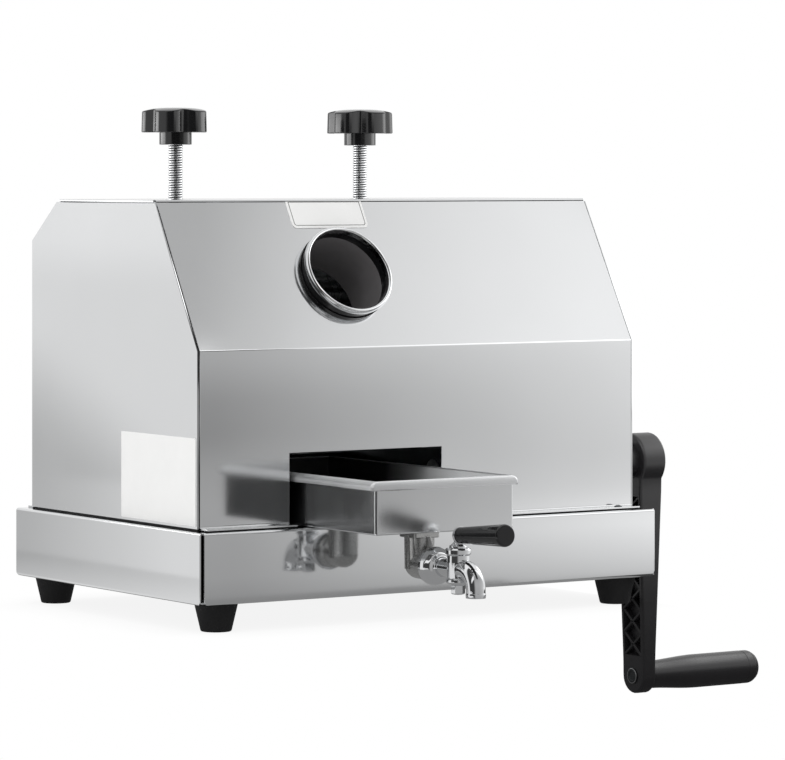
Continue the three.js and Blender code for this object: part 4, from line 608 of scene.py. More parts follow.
def base_pan(edge):
    """A shallow box open below: a deck, four skirts with round lower corners, and a lip folded inwards.

    A skirt's half length is constant, then follows a quarter circle, then a 45 degree mitre.
    """
    bend, gap, corner, lip = 2.5, 0.5, 5.0, 55.0
    ends = [half - bend - gap for half in BASE_HALF]
    skins = []
    for side in range(4):
        half = BASE_HALF[1] if side % 2 == 0 else BASE_HALF[0]
        end = ends[0] if side % 2 == 0 else ends[1]
        line = rounded([(half - bend, DECK), (half, DECK), (half, BASE_LOW), (half - lip, BASE_LOW)], bend)
        low = np.linspace(BASE_LOW + corner, BASE_LOW + bend, 6)[:-1]
        cut = np.argmax(line[:, 1] < BASE_LOW + bend + 1e-6)
        line = np.concatenate([line[:cut], np.column_stack([np.full(5, half), low]), line[cut:]])
        below = np.clip(BASE_LOW + corner - line[:, 1], 0, corner)
        mitre = np.where(line[:, 1] < BASE_LOW + bend, np.clip(half - bend - line[:, 0], 0, None), 0)
        lengths = end - (corner - np.sqrt(corner ** 2 - below ** 2)) - mitre
        skins.append(folded_skirt(line, lengths, side))
    us = [-BASE_HALF[0] + bend, -ends[0], ends[0], BASE_HALF[0] - bend]
    vs = [-BASE_HALF[1] + bend, -ends[1], ends[1], BASE_HALF[1] - bend]
    points, faces = pierced(us, vs)
    skins.append((points + [0, 0, DECK], faces))
    make("base_sheet", skins, "housing", ["base_pan"], "polished_stainless", SHEET, edge,
         outward_from=(0, 0, 60), look="mirror_stainless")


def side_panel(name, side):
    """A flat six sided sheet over a black rubber strip of painted shade, and the flange that stands on the
    deck inside it.
    """
    top = TOP - COVER_LIP - COVER_SEAM
    front = FRONT_Y + (top - FRONT_BEND) * UP_SLOPE[0] / UP_SLOPE[1]
    rear = REAR_Y - (top - REAR_BEND) * (REAR_Y - TOP_REAR_Y) / (TOP - REAR_BEND)
    sole = DECK + STRIP
    outline = [(FRONT_Y, sole), (REAR_Y, sole), (REAR_Y, REAR_BEND), (rear, top), (front, top),
               (FRONT_Y, FRONT_BEND)]
    faces = sorted([side * HOUSING_HALF, side * (HOUSING_HALF - SHEET)])
    toes = sorted([side * (HOUSING_HALF - SHEET / 2), side * (HOUSING_HALF - FLANGE)])
    flange = rectangle(FRONT_Y + 2 * SHEET, REAR_Y - 2 * SHEET, DECK, DECK + SHEET)
    skins = plate_yz(outline, *faces, 0.35) + plate_yz(flange, *toes, 0.2)
    make(f"{name}_sheet", skins, "housing", [name], "polished_stainless")
    # Painted shade: a black rubber strip fills the gap between the sheet and the deck, a little back from its
    # face.
    strip = rectangle(FRONT_Y + 0.5, REAR_Y - 0.5, DECK + 0.02, sole - 0.02)
    inset = sorted([side * (HOUSING_HALF - 0.5), side * (HOUSING_HALF - SHEET)])
    make(f"{name}_shade_strip", plate_yz(strip, *inset, SHADE_STRIP_EDGE), "housing", [], "foot_rubber")


def front_panel(edge):
    """One sheet bent along X: a flange over two black rubber strips of painted shade, the front with the
    tray's slot, and the slope.
    """
    end = np.array([FRONT_Y, FRONT_BEND]) + UP_SLOPE * SLOPE_END
    toe = DECK + SHEET + 0.9
    line = rounded([(FRONT_Y - FLANGE, toe), (FRONT_Y, toe), (FRONT_Y, FRONT_BEND), end], [1.2, 3.0])
    run = lengths_along(line)
    up = line[:, 1] > toe + 1
    slot_top = np.interp(SLOT_TOP, line[up, 1], run[up])
    ring = np.interp(FRONT_BEND + UP_SLOPE[1] * RING_UP_SLOPE, line[up, 1], run[up])
    slot = (TRAY_X - SLOT_HALF, TRAY_X + SLOT_HALF)
    # Painted shade: black rubber strips fill the gap under the flange, one each side of the slot.
    strip = rectangle(FRONT_Y - FLANGE + 0.7, FRONT_Y - 1, DECK + 0.02, toe - SHEET)
    for hand, x0, x1 in (("left", -PANEL_HALF, slot[0]), ("right", slot[1], PANEL_HALF)):
        make(f"front_shade_strip_{hand}", plate_yz(strip, x0, x1, SHADE_STRIP_EDGE), "housing", [], "foot_rubber")
    patch_half, patch_parts = 54.0, 16
    flat = pierced([-PANEL_HALF - 1.1, PANEL_HALF + 1.8], run, [(*slot, 0, slot_top)],
                   [(FRAME_X, ring, patch_half, RING_HOLE)], patch_parts)
    make("front_panel_sheet", [bent_along_x(flat, line)], "housing", ["front_panel"], "polished_stainless",
         SHEET, edge, outward_from=INSIDE)


def rear_panel(edge):
    """The front panel's counterpart at the back, with the opening for the pressed cane."""
    slope = np.array([REAR_Y - TOP_REAR_Y, REAR_BEND - TOP])
    end = np.array([TOP_REAR_Y, TOP]) + slope / np.linalg.norm(slope) * (COVER_LIP + COVER_SEAM)
    toe = DECK + SHEET
    line = rounded([(REAR_Y + FLANGE, toe), (REAR_Y, toe), (REAR_Y, REAR_BEND), end], [1.2, 3.0])
    run = lengths_along(line)
    up = (line[:, 1] > toe + 1) & (line[:, 1] < REAR_BEND)
    opening = (FRAME_X - REAR_OPENING_HALF, FRAME_X + REAR_OPENING_HALF,
               *np.interp(REAR_OPENING, line[up, 1], run[up]))
    flat = pierced([-PANEL_HALF, PANEL_HALF], run, [opening])
    make("rear_panel_sheet", [bent_along_x(flat, line)], "housing", ["rear_panel"], "polished_stainless",
         SHEET, edge, outward_from=INSIDE)


def top_cover(edge):
    """A lid with two round holes and a short lip folded down on each side, in line with the slopes."""
    centre = (0.0, (TOP_FRONT_Y + TOP_REAR_Y) / 2)
    deep = (TOP_REAR_Y - TOP_FRONT_Y) / 2
    rear = np.array([REAR_Y - TOP_REAR_Y, REAR_BEND - TOP])
    rear /= np.linalg.norm(rear)
    falls = [(UP_SLOPE[0], -UP_SLOPE[1]), (0.0, -1.0), tuple(rear), (0.0, -1.0)]
    halves = [deep, HOUSING_HALF, deep, HOUSING_HALF]
    lines = [rounded([(half - 3, TOP), (half, TOP), (half + COVER_LIP * dx, TOP + COVER_LIP * dz)], 1.5)[1:]
             for half, (dx, dz) in zip(halves, falls)]
    gap = 0.4
    edges = [line[0, 0] for line in lines]
    skins = []
    for side, line in enumerate(lines):
        end = (edges[1] if side % 2 == 0 else min(edges[0], edges[2])) - gap
        skins.append(folded_skirt(line, np.full(len(line), end), side, centre))
    end_x, end_y = edges[1] - gap, min(edges[0], edges[2]) - gap
    us = [-edges[1], -end_x, end_x, edges[1]]
    vs = [-edges[0], -end_y, end_y, edges[2]]
    holes = [(x, SCREW_Y - centre[1], 15.0, 10.0) for x in SCREW_XS.values()]
    points, faces = pierced(us, vs, rounds=holes)
    skins.append((points + [centre[0], centre[1], TOP], faces))
    make("top_cover_sheet", skins, "housing", ["top_cover"], "polished_stainless", SHEET, edge,
         outward_from=INSIDE)


def panel_screw():
    """A pan head on a shank, turned about Z, with a cross recess: the head drops where a cross lies."""
    x, y, z = 222.0, -157.5, DECK + SHEET + 0.1
    angle = np.linspace(0, 2 * np.pi, 48, endpoint=False)[None]
    radius = np.array([0.01, 0.4, 0.8, 1.2, 1.6, 2.0, 2.4, 2.8, 3.2, 3.6, 3.9, 4.0])[:, None]
    height = 2.3 * np.sqrt(np.clip(1 - (radius / 4.4) ** 2, 0, 1))
    px, py = radius * np.cos(angle), radius * np.sin(angle)
    cross = (np.minimum(abs(px), abs(py)) < 0.45) & (radius < 2.3)
    top = np.stack([x + px, y + py, z + height - cross * 1.0], -1)
    shank = turned([(4.0, 0.96), (4.0, 0.0), (2.0, 0.0), (2.0, -9.0), (0.0, -9.0)], (x, y, z), UP, 48)
    make("panel_screw", [grid(top, round_columns=True), shank], "housing", ["front_panel_screw"],
         "satin_steel", look="dark_steel")


def foot(name, sign_x, sign_y):
    """A turned rubber foot: a tapered body with round rims, a hollow below, and a neck and bulb above."""
    origin = (sign_x * 224.0, sign_y * 149.0, 0.0)
    body = rounded([(0, 8), (6, 8), (6, 0), (14, 0), (19.9, 25.2), (19.9, 26), (5, 26)],
                   [0.5, 0.8, 1.6, 0.5, 0.5])
    neck = rounded([(5, 26), (5, 29.3), (7, 29.3), (5, 36.3), (0, 36.3)], [0, 0.5, 1.5])
    make(f"{name}_rubber", [turned(np.concatenate([body, neck]), origin, UP)], "housing", [name],
         "foot_rubber")


# Feed ring and labels

def feed_ring():
    """A turned ring that stands out of the slope: an oval bead on a sleeve finished black as painted shade.

    The bead's section is most of a circle, drawn out along the ring's axis.
    """
    place = on_slope(FRAME_X, RING_UP_SLOPE)
    bead = np.linspace(-0.62 * np.pi, 0.98 * np.pi, 28)
    rim = np.column_stack([43.3 + 2.3 * np.cos(bead), 10.2 + 3.8 * np.sin(bead)])
    rim = np.concatenate([[(41.5, 6.6)], rim[:-2], [(41.5, 11.6)]])
    make("feed_ring_bead", [lathe_ring(rim, place, OUT_OF_SLOPE, 128)], "housing", ["feed_ring"],
         "polished_stainless", look="mirror_stainless")
    # Painted shade: the recessed sleeve under the bead is black, for the shade that falls there.
    sleeve = rounded([(41.6, -1.5), (44.0, -1.5), (44.0, 7.2), (41.6, 7.2), (41.6, -1.4)], 0.2, 2)
    make("feed_ring_sleeve", [lathe_ring(sleeve, place, OUT_OF_SLOPE, 128)], "housing", ["feed_ring"],
         "polished_stainless", look="black_plastic")


def feed_chute():
    """A turned tube with a flange, behind the ring."""
    profile = [(41.5, -1.8), (56, -1.8), (56, -3.3), (43, -3.3), (43, -57.8), (41.5, -57.8)]
    make("feed_chute_turned", [lathe_ring(profile, on_slope(FRAME_X, RING_UP_SLOPE), OUT_OF_SLOPE, 96)],
         "housing", ["feed_chute"], "satin_steel", look="black_oxide")


def label_skins(half_u, half_v, corner, low, high, width=None):
    """A thin plate with round corners, or with a width the frame of one: rings inset one from another."""

    def ring(inset, height):
        radii = np.maximum(np.array(corner) - inset, 0.2)
        return box_ring(half_u - inset, half_v - inset, (0, 0), radii, height)

    if width is not None:
        rows = [ring(0, low), ring(0, high), ring(width, high), ring(width, low)]
        return [grid(np.stack(rows), True, True)]
    rows = np.stack([ring(0.1, low), ring(0, low + 0.1), ring(0, high - 0.12), ring(0.12, high)])
    return [grid(rows, True), lid(rows[0]), lid(rows[-1])]


def placed(skins, origin, across, upward):
    """Moves skins drawn flat in X and Y to a plane through the origin with those two directions."""
    across, upward = np.array(across, float), np.array(upward, float)
    turn = np.stack([across, upward, np.cross(across, upward)])
    return [(points @ turn + origin, faces) for points, faces in skins]


def labels():
    """Two bare label plates: one on the left side panel, and one with a printed border on the slope."""
    film = (0.1, 0.6)
    side = placed(label_skins(67.0, 39.75, 1.5, *film), (-HOUSING_HALF, FRONT_Y + 69.5, 134.75), FORWARD, UP)
    make("side_label_film", side, "housing", ["side_label"], "label_film")
    half = (42.25, 14.15)
    middle = on_slope(LABEL_X, SLOPE_END - half[1])
    up = (0, UP_SLOPE[0], UP_SLOPE[1])
    front = placed(label_skins(*half, (0.3, 0.3, 5.0, 5.0), *film), middle, RIGHT, up)
    make("front_label_film", front, "housing", ["front_label"], "label_film")
    inner = (half[0] - 2.6, half[1] - 1.4)
    border = placed(label_skins(*inner, (0.3, 0.3, 2.8, 2.8), 0.55, 0.62, 0.65),
                    on_slope(LABEL_X, SLOPE_END - inner[1] - 0.2), RIGHT, up)
    make("front_label_border", border, "housing", [], "label_film", look="printed_line")


# Pressure screws and knobs

def pressure_screw(side, pitch):
    """A rolled thread on a turned rod.

    Its phase is the height over the pitch less the angle's share of a turn, and the radius falls in a
    rounded V where the phase nears a whole number.
    """
    x = SCREW_XS[side]
    low, high = 314.1, 460.2
    rows_per_turn = 9
    z = np.linspace(low, high, int((high - low) / pitch * rows_per_turn))[:, None]
    angle = np.linspace(0, 2 * np.pi, 40, endpoint=False)[None]
    phase = (z / pitch - angle / (2 * np.pi)) % 1
    root = smooth((abs(phase - 0.5) - 0.2) / 0.28) * np.clip((z - low) / 3, 0, 1)
    radius = SCREW_RADIUS - THREAD_DEPTH * root - np.clip(2 - (z - low), 0, 2)
    points = np.stack([x + radius * np.cos(angle), SCREW_Y + radius * np.sin(angle), z + 0 * angle], -1)
    skins = [grid(points, round_columns=True), lid(points[0]), lid(points[-1])]
    piece = make(f"{side}_screw_thread", skins, f"{side}_screw", [f"{side}_pressure_screw"], "satin_steel",
                 look="threaded_steel", crease=80)
    # The share of the thread's depth at each point, which the finish turns into painted shade in the roots.
    place = np.empty(len(piece.data.vertices) * 3)
    piece.data.vertices.foreach_get("co", place)
    across, deep, up = place.reshape(-1, 3).T / MM
    depth = (SCREW_RADIUS - np.hypot(across - x, deep - SCREW_Y)) / THREAD_DEPTH
    root = np.clip(depth, 0, 1) * (up > low + 4)
    piece.data.attributes.new("root", "FLOAT", "POINT").data.foreach_set("value", root)


def star_knob(side, lobes, depth):
    """Rings round the axis under one dome, with a groove between lobes wherever a cosine nears its least.

    The dome falls with the 3.2th power of the radius, so the rim dips at each lobe.
    """
    reach, low = 32.3, 452.0
    angle = np.linspace(0, 2 * np.pi, lobes * 36, endpoint=False)
    edge = reach - depth * (0.5 - 0.5 * np.cos(lobes * (angle - math.radians(KNOB_TURNS[side])))) ** 2.4

    def dome(radius):
        return 475.4 - 3.7 * (radius / reach) ** 3.2

    x, hub_radius, hub_low, bore = SCREW_XS[side], 15.4, 440.5, 7.6
    crown = edge - 1.4
    rows = [(np.full(angle.shape, hub_radius), low), (edge - 1.0, low), (edge - 0.3, low + 0.3),
            (edge, low + 1.0), (edge - 0.5, dome(edge) - 0.9), (edge - 0.65, dome(edge) - 0.45),
            (edge - 0.95, dome(edge - 0.95) - 0.12)]
    shares = (1, 0.96, 0.9, 0.8, 0.68, 0.54, 0.36, 0.18, 0)
    rows += [(share * crown, dome(share * crown)) for share in shares]
    points = np.stack([np.column_stack([x + radius * np.cos(angle), SCREW_Y + radius * np.sin(angle),
                                        np.broadcast_to(z, angle.shape)]) for radius, z in rows])
    hub = rounded([(bore, hub_low), (hub_radius, hub_low), (hub_radius, low)], 0.6)
    socket = [(bore, hub_low), (bore, 460.3), (0.0, 460.3)]
    skins = [grid(points, round_columns=True), turned(hub, (x, SCREW_Y, 0), UP, len(angle)),
             turned(socket, (x, SCREW_Y, 0), UP, 48)]
    make(f"{side}_star_knob", skins, f"{side}_screw", [f"{side}_knob"], "black_plastic")


# Tray, elbow and tap

def juice_tray():
    """A folded box as rings from the drain out over the rim and back under to the outlet stub.

    Each ring is a rectangle with round corners, or the drain's circle at the same angles.
    """
    low, top, sheet = TRAY_LOW, 139.5, 1.5
    rim_low = 131.8
    centre, half = (TRAY_X, -125.0), (75.0, 155.0)
    stub_radius, drain_radius, stub_low = 10.0, 7.5, 79.4
    roll = np.linspace(0.06, 1, 9) * np.pi / 2
    rolled_rim = zip(-0.7 + 1.7 * np.sin(roll) ** 0.8, top - 6.0 + 6.0 * np.cos(roll))
    spots = [(-sheet - 1.0, low + sheet), (-sheet - 0.3, low + 1.8), (-sheet, low + 2.5), (-sheet, top - 1.2),
             (-1.3, top - 0.4), (-0.9, top), *rolled_rim, (1.0, rim_low), (0.85, rim_low - 0.8),
             (0.6, rim_low - 0.8), (0.45, rim_low - 0.4), (0.3, top - 1.8), (0.0, top - 2.2),
             (0.0, low + 1.6), (-0.4, low + 0.5), (-1.6, low)]

    def ring(out, z):
        side, end = (5.5, 1.5) if out > 0 else (1.0, 1.0)
        return box_ring(half[0] + out * side, half[1] + out * end, centre, 2.6 + min(out, 1.0), z, 6)

    walls = np.stack([ring(*spot) for spot in spots])
    drain = np.array([TRAY_X, OUTLET_Y, 0.0])
    spoke = walls[0] - drain
    angle = np.arctan2(spoke[:, 1], spoke[:, 0])

    def circle(radius, z):
        return np.stack([TRAY_X + radius * np.cos(angle), OUTLET_Y + radius * np.sin(angle),
                         np.full(angle.shape, z)], -1)

    share = np.linspace(0, 1, 7)[:, None, None]
    inner_drain, outer_stub = circle(drain_radius, low + sheet), circle(stub_radius, low)
    bottom = inner_drain * (1 - share) + walls[0] * share
    under = walls[-1] * (1 - share) + outer_stub * share
    stub = np.stack([outer_stub, circle(stub_radius, stub_low), circle(drain_radius, stub_low),
                     inner_drain])
    skins = [grid(part, True) for part in (bottom, walls, under, stub)]
    piece = make("tray_sheet", skins, "tray", ["juice_tray"], "polished_stainless", crease=40,
                 look="satin_stainless")
    piece.data.materials.append(finish("tray_inside"))
    piece.data.materials.append(finish("tray_rim"))
    middle = np.empty(len(piece.data.polygons) * 3)
    piece.data.polygons.foreach_get("center", middle)
    x, y, z = abs(middle.reshape(-1, 3) / MM - [*centre, 0]).T
    inside = (x < half[0] - 1.2) & (y < half[1] - 1.2) & (z > low + 1.2)
    piece.data.polygons.foreach_set("material_index", np.where(z > rim_low, 2, inside).astype(np.int32))


def elbow():
    """A cast bend: two cylinders that meet in a ball, a square collar, a round one, and a web between."""
    top, front, body = 90.9, -260.9, 13.9
    bend = (TRAY_X, OUTLET_Y, TAP_Z)
    down = rounded([(0.01, top - 5.0), (body, top - 5.0), (body - 0.5, TAP_Z), (0.01, TAP_Z)], 0.2, 1)
    half = np.linspace(-np.pi / 2, np.pi / 2, 17)
    ball = np.column_stack([(body - 0.5) * np.cos(half) + 0.01, (body - 0.5) * np.sin(half)])
    forward = rounded([(0.01, 0), (body - 0.5, 0), (body - 0.5, 14.5), (15.3, 16.3), (15.3, 22.2),
                       (14.6, 22.9), (0.01, 22.9)], [0.1, 1.5, 1.0, 0.5, 0.1], 3)
    collar = [box_ring(h, h, (TRAY_X, OUTLET_Y), 2.2, top - drop)
              for h, drop in ((12.9, 7.2), (13.5, 6.4), (13.5, 0.5), (13.0, 0.0))]
    web = [(front + 2.0, TAP_Z + 12.0), (OUTLET_Y - 12.0, TAP_Z + 8.0), (OUTLET_Y - 12.0, top - 6.5),
           (OUTLET_Y - 14.5, top - 6.5)]
    skins = [turned(down, OUTLET, UP, 56), turned(ball, bend, FORWARD, 56),
             turned(forward, bend, FORWARD, 56), grid(np.stack(collar), True), lid(collar[0]),
             lid(collar[-1]), *plate_yz(web[::-1], TRAY_X - 1.6, TRAY_X + 1.6, 0.5)]
    for across in (-8.0, -3.0, 2.0):
        rib = rectangle(OUTLET_Y + across - 0.9, OUTLET_Y + across + 0.9, TAP_Z - 4, top - 6)
        reach = math.sqrt(body ** 2 - across ** 2)
        skins += plate_yz(rib, TRAY_X - reach - 0.7, TRAY_X - reach + 2.0, 0.4)
    make("elbow_casting", skins, "tray", ["outlet_elbow"], "cast_stainless")


def tap():
    """A turned flange and neck, a turned barrel, and a spout: a circle carried forward and round a bend."""
    flange = rounded([(0.01, 0), (17.5, 0), (17.5, 3.4), (16.4, 7.4), (12.6, 11.4), (8.6, 12.8), (8.4, 27),
                      (8.4, 38)], [0.5, 0.8, 5.0, 6.0, 2.5, 1.5], 6)
    barrel = rounded([(0.01, 46.5), (9.6, 46.5), (11.2, 48), (11.2, 50.6), (10.0, 51.6), (10.4, 66),
                      (10.2, 72.4), (11.9, 73.4), (11.9, 77.2), (10.6, 78.5), (0.01, 78.5)],
                     [0.6, 0.8, 0.5, 0.8, 6.0, 0.8, 0.4, 0.8, 0.6], 4)
    skins = [turned(flange, (TRAY_X, -261.3, TAP_Z), FORWARD, 80), turned(barrel, TAP_PLUG, UP, 72)]
    reach, bend, low = 27.6, 17.0, 36.0
    turn = np.linspace(0, np.pi / 2, 18)
    arc = np.column_stack([TAP_Y - (reach - bend) - bend * np.sin(turn), TAP_Z - bend + bend * np.cos(turn)])
    start = np.column_stack([np.linspace(TAP_Y, TAP_Y - (reach - bend), 5)[:-1], np.full(4, TAP_Z)])
    drop = np.column_stack([np.full(4, TAP_Y - reach), [40.4, 40.0, 38.6, low]])
    path = np.concatenate([start, arc, drop])
    outer = np.concatenate([[6.5, 7.4, 8.4, 9.1], np.linspace(9.2, 8.7, len(arc)), [8.7, 9.0, 9.1, 8.9]])
    path = np.column_stack([np.full(len(path), TRAY_X), path])
    outside = carried_circle(path, outer, 64)
    inside = carried_circle(path[::-1][:12], np.full(12, 7.2), 64)
    skins += [grid(np.concatenate([outside, inside]), True), lid(inside[-1]), lid(outside[0])]
    make("tap_casting", skins, "tray", ["tap_body"], "tap_chrome")


def tap_lever():
    """The turned cap and stem of the plug, the leaning ferrule and tang, the tapered grip, and the nut."""
    tilt = math.radians(4.0)
    lean = (0, -math.cos(tilt), math.sin(tilt))
    pivot = np.array([TRAY_X, TAP_Y, 89.8])
    cap = rounded([(0.01, 45), (6.5, 46), (6.5, 78.8), (8, 78.8), (8, 80.6), (5.4, 82.2), (3.6, 84.4),
                   (3.3, 88), (4.6, 91.4), (0.01, 93.2)], [0.3, 0.2, 0.4, 0.8, 1.0, 1.2, 2.0, 2.6], 4)
    ferrule = rounded([(0.01, -3.4), (3.6, -3.2), (5.4, 0), (6.6, 1.7), (8, 2.2), (8, 4.7), (0.01, 4.7)],
                      [1.6, 2.0, 1.0, 0.6, 0.4], 4)
    tang = [(0.01, 0), (2.5, 0), (2.5, 45), (0.01, 45)]
    screw = [(0.01, 36.5), (3.6, 36.9), (4, 37.3), (4, 47), (0.01, 47)]
    skins = [turned(cap, TAP_PLUG, UP, 56), turned(ferrule, pivot, lean, 56), turned(tang, pivot, lean, 24),
             turned(screw, TAP_PLUG, UP, 32)]
    make("lever_stem", skins, "lever", ["tap_lever"], "tap_chrome")
    grip = rounded([(2.8, 5), (6.8, 5), (7.3, 5.6), (10.1, 72.6), (9.2, 75), (0.01, 75)],
                   [0.5, 0.8, 1.4, 1.6], 5)
    bore = [(2.8, 5), (2.8, 45.3), (0.01, 45.3)]
    make("lever_grip", [turned(grip, pivot, lean, 64), turned(bore, pivot, lean, 64)], "lever",
         ["tap_lever_grip"], "black_plastic")
    nut = rounded([(4.2, 37.2), (5.6, 37.2), (6.5, 38.1), (6.5, 45.3), (5.6, 46.2), (4.2, 46.2)], 0.2, 2)
    make("lever_nut", [lathe_ring(nut, TAP_PLUG, UP, 6)], "lever", ["tap_lever_nut"], "tap_chrome", edge=0.3)


# Crank

def arm_outline(steps=14):
    """The crank arm seen along X, from its hub's middle: two arcs joined by straight flanks."""
    start = math.asin(ARM_NECK / ARM_HUB)
    round_hub = np.linspace(start - np.pi / 2, 1.5 * np.pi - start, 2 * steps + 1)
    round_end = np.linspace(np.pi, 2 * np.pi, steps + 1)
    flank = np.linspace(0, 1, 16)[1:-1, None]
    a = np.column_stack([ARM_HUB * np.cos(round_hub), ARM_HUB * np.sin(round_hub)])
    b = np.column_stack([ARM_END * np.cos(round_end), ARM_END * np.sin(round_end) - CRANK_RADIUS])
    return np.concatenate([a, a[-1] + (b[0] - a[-1]) * flank, b, b[-1] + (a[0] - b[-1]) * flank])


def from_hub(x, y, z):
    """Points so far from the middle of the crank's hub."""
    return np.column_stack([CRANK_ARM_X + x, CRANK_AXIS[0] + y, CRANK_AXIS[1] + z])


def crank_arm():
    """Rings of the arm's outline, from the outer face over round rims to the inner face and into the recess.

    The recess's ring is the outline's nearest point inside a tapered slot, and slanting ribs cross it.
    """
    outline = arm_outline()
    before, after = np.roll(outline, 1, 0), np.roll(outline, -1, 0)
    tangent = (after - before) / np.linalg.norm(after - before, axis=1)[:, None]
    inward = np.stack([-tangent[:, 1], tangent[:, 0]], -1)
    top_half, low_half, rim_radius, wall = 13.25, 7.75, 2.6, 4.5

    def half_at(height):
        share = np.clip((-height - ARM_HUB) / (CRANK_RADIUS - ARM_END - ARM_HUB), 0, 1)
        return top_half + share * (low_half - top_half)

    def width_at(height):
        return ARM_NECK - height / CRANK_RADIUS * (ARM_END - ARM_NECK) - wall

    rows = []
    rim = np.linspace(0, np.pi / 2, 6)
    for side, turns in ((1, rim[::-1]), (-1, rim)):
        for t in turns:
            shape = outline + inward * rim_radius * (1 - math.cos(t))
            x = side * (half_at(outline[:, 1]) - rim_radius * (1 - math.sin(t)))
            rows.append(from_hub(x, *shape.T))
    face = outline + inward * rim_radius
    slot_low, slot_high = -(CRANK_RADIUS - 20.0), -34.5
    height = np.clip(face[:, 1], slot_low, slot_high)
    slot = np.column_stack([np.clip(face[:, 0], -width_at(height), width_at(height)), height])
    rows.append(from_hub(-half_at(height), *slot.T))
    middle = np.array([0.0, (slot_low + slot_high) / 2])
    bottom = slot + (middle - slot) * 0.03
    rows.append(from_hub(np.full(len(bottom), -2.0), *bottom.T))
    rings = np.stack(rows)
    skins = [grid(rings, True), lid(rings[0]), lid(rings[-1])]
    bays = 7
    tops = np.linspace(slot_high, slot_low, bays + 1)
    side = np.where(np.arange(bays) % 2, 1.0, -1.0)
    wide = np.array([1.15, 1.0, 0.6, -0.6, -1.0, -1.15])
    for top, low, way in zip([*tops[:-1]] * 2, [*tops[1:]] * 2, [*side, *-side]):
        a = np.array([-way * (width_at(top) + 1), top])
        b = np.array([way * (width_at(low) + 1), low])
        across = np.array([-(b - a)[1], (b - a)[0]])
        across *= 1.3 / np.linalg.norm(across)
        inner, crest = 1.2 - half_at(top), 0.6 - half_at(top)
        lift = np.array([-1.5, inner, crest, crest, inner, -1.5])
        ends = np.stack([from_hub(lift, p[0] + across[0] * wide, p[1] + across[1] * wide) for p in (a, b)])
        skins += [grid(ends, True), lid(ends[0]), lid(ends[1])]
    boss = rounded([(0.01, -24.25), (17, -24.25), (17, -10)], 1.2)
    skins.append(turned(boss, CRANK_HUB, RIGHT))
    make("crank_arm_moulding", skins, "crank", ["crank_arm"], "black_plastic", look="arm_nylon")


def crank_fastenings():
    """A six sided bolt head on a turned washer, and the turned head of the grip's pin with a painted
    highlight round its rim.
    """
    washer = rounded([(0.01, 13.35), (13, 13.35), (13, 15.2), (7.6, 15.2)], [0.2, 0.5])
    head = rounded([(0.01, 15.1), (7.9, 15.1), (7.9, 18.4), (6.8, 19.35), (0.01, 19.35)], [0.1, 0.2, 0.4])
    shank = [(4, 0), (4, 13.5)]
    skins = [turned(washer, CRANK_HUB, RIGHT), turned(head, CRANK_HUB, RIGHT, 6),
             turned(shank, CRANK_HUB, RIGHT, 24)]
    make("crank_bolt_head", skins, "crank", ["crank_bolt"], "dark_steel", edge=0.3)
    pin = rounded([(0.01, -8.9), (4.2, -8.9), (4.6, -9.3), (7.1, -9.3), (7.5, -8.9), (7.5, -7.85),
                   (5, -7.85), (5, 122), (0.01, 122)], 0.2, 3)
    make("grip_pin_turned", [turned(pin, GRIP_PIN, RIGHT)], "crank", ["grip_pin"], "dark_steel")
    # Painted highlight: a thin ring of bright steel over the rim of the pin's dark head.
    rim = [(6.5, -9.25), (6.5, -9.38), (7.2, -9.38), (7.45, -9.1), (7.45, -8.9), (6.8, -8.9)]
    make("grip_pin_edge", [lathe_ring(rim, GRIP_PIN, RIGHT)], "crank", [], "satin_steel")


def crank_grip():
    """A turned handle: a slow swell from the root, then a straight run and a round end."""
    start, end = 8.05, 139.05
    share = np.linspace(0, 1, 16)
    swell = np.column_stack([13.3 + 3.0 * smooth(share), start + 1 + 58 * share])
    tail = rounded([(16.3, end - 16), (15.9, end - 15.4), (15.9, end - 14.6), (16.2, end - 14),
                    (16.2, end - 6), (12.5, end), (0.01, end)], [0.1, 0.1, 0.1, 8.0, 4.0], 6)
    body = np.concatenate([[(5.3, start), (12.9, start)], swell, tail])
    bore = [(5.3, start), (5.3, start + 114), (0.01, start + 114)]
    skins = [turned(body, GRIP_PIN, RIGHT, 72), turned(bore, GRIP_PIN, RIGHT, 72)]
    make("crank_grip_moulding", skins, "grip", ["crank_grip"], "black_plastic", look="arm_nylon")


# Rollers

def roller(name, body, y, z, right_end):
    """A fluted drum with broken ends on a turned journal: the radius falls in a V between flat lands."""
    flutes, radius, depth = 18, 40.0, 1.6
    spots = np.array([-0.5, -0.42, -0.3, -0.1, 0.1, 0.3, 0.42])
    share = (np.arange(flutes)[:, None] + spots[None]).ravel()
    groove = np.clip((abs(share - np.round(share)) - 0.28) / 0.22, 0, 1)
    angle = share * 2 * np.pi / flutes
    rings = []
    for x, inset in ((-156.5, 1.2), (-155.3, 0.0), (27.3, 0.0), (28.5, 1.2)):
        reach = radius - inset - depth * groove
        rings.append(np.column_stack([np.full(angle.shape, x), y + reach * np.cos(angle),
                                      z + reach * np.sin(angle)]))
    journal = rounded([(0.01, -178), (3, -180), (12, -180), (12, right_end), (3, right_end),
                       (0.01, right_end - 2)], [0.1, 1.0, 1.0, 0.1], 3)
    skins = [grid(np.stack(rings), True), lid(rings[0]), lid(rings[-1]), turned(journal, (0, y, z), RIGHT)]
    make(f"{name}_drum", skins, body, [name], "satin_steel")


# Stage

def camera():
    """The photograph's viewpoint: level, from the front left, its picture shifted down onto the machine."""
    data = bpy.data.cameras.new("camera")
    data.lens, data.sensor_width = 189.35, 36.0
    data.shift_x, data.shift_y = 0.0493, -0.2641
    data.clip_end = 100.0
    view = put("camera", data)
    view.location = (-2.15555, -3.34222, 0.41403)
    view.rotation_euler = (math.radians(90), 0, math.radians(-33.08))
    bpy.context.scene.camera = view


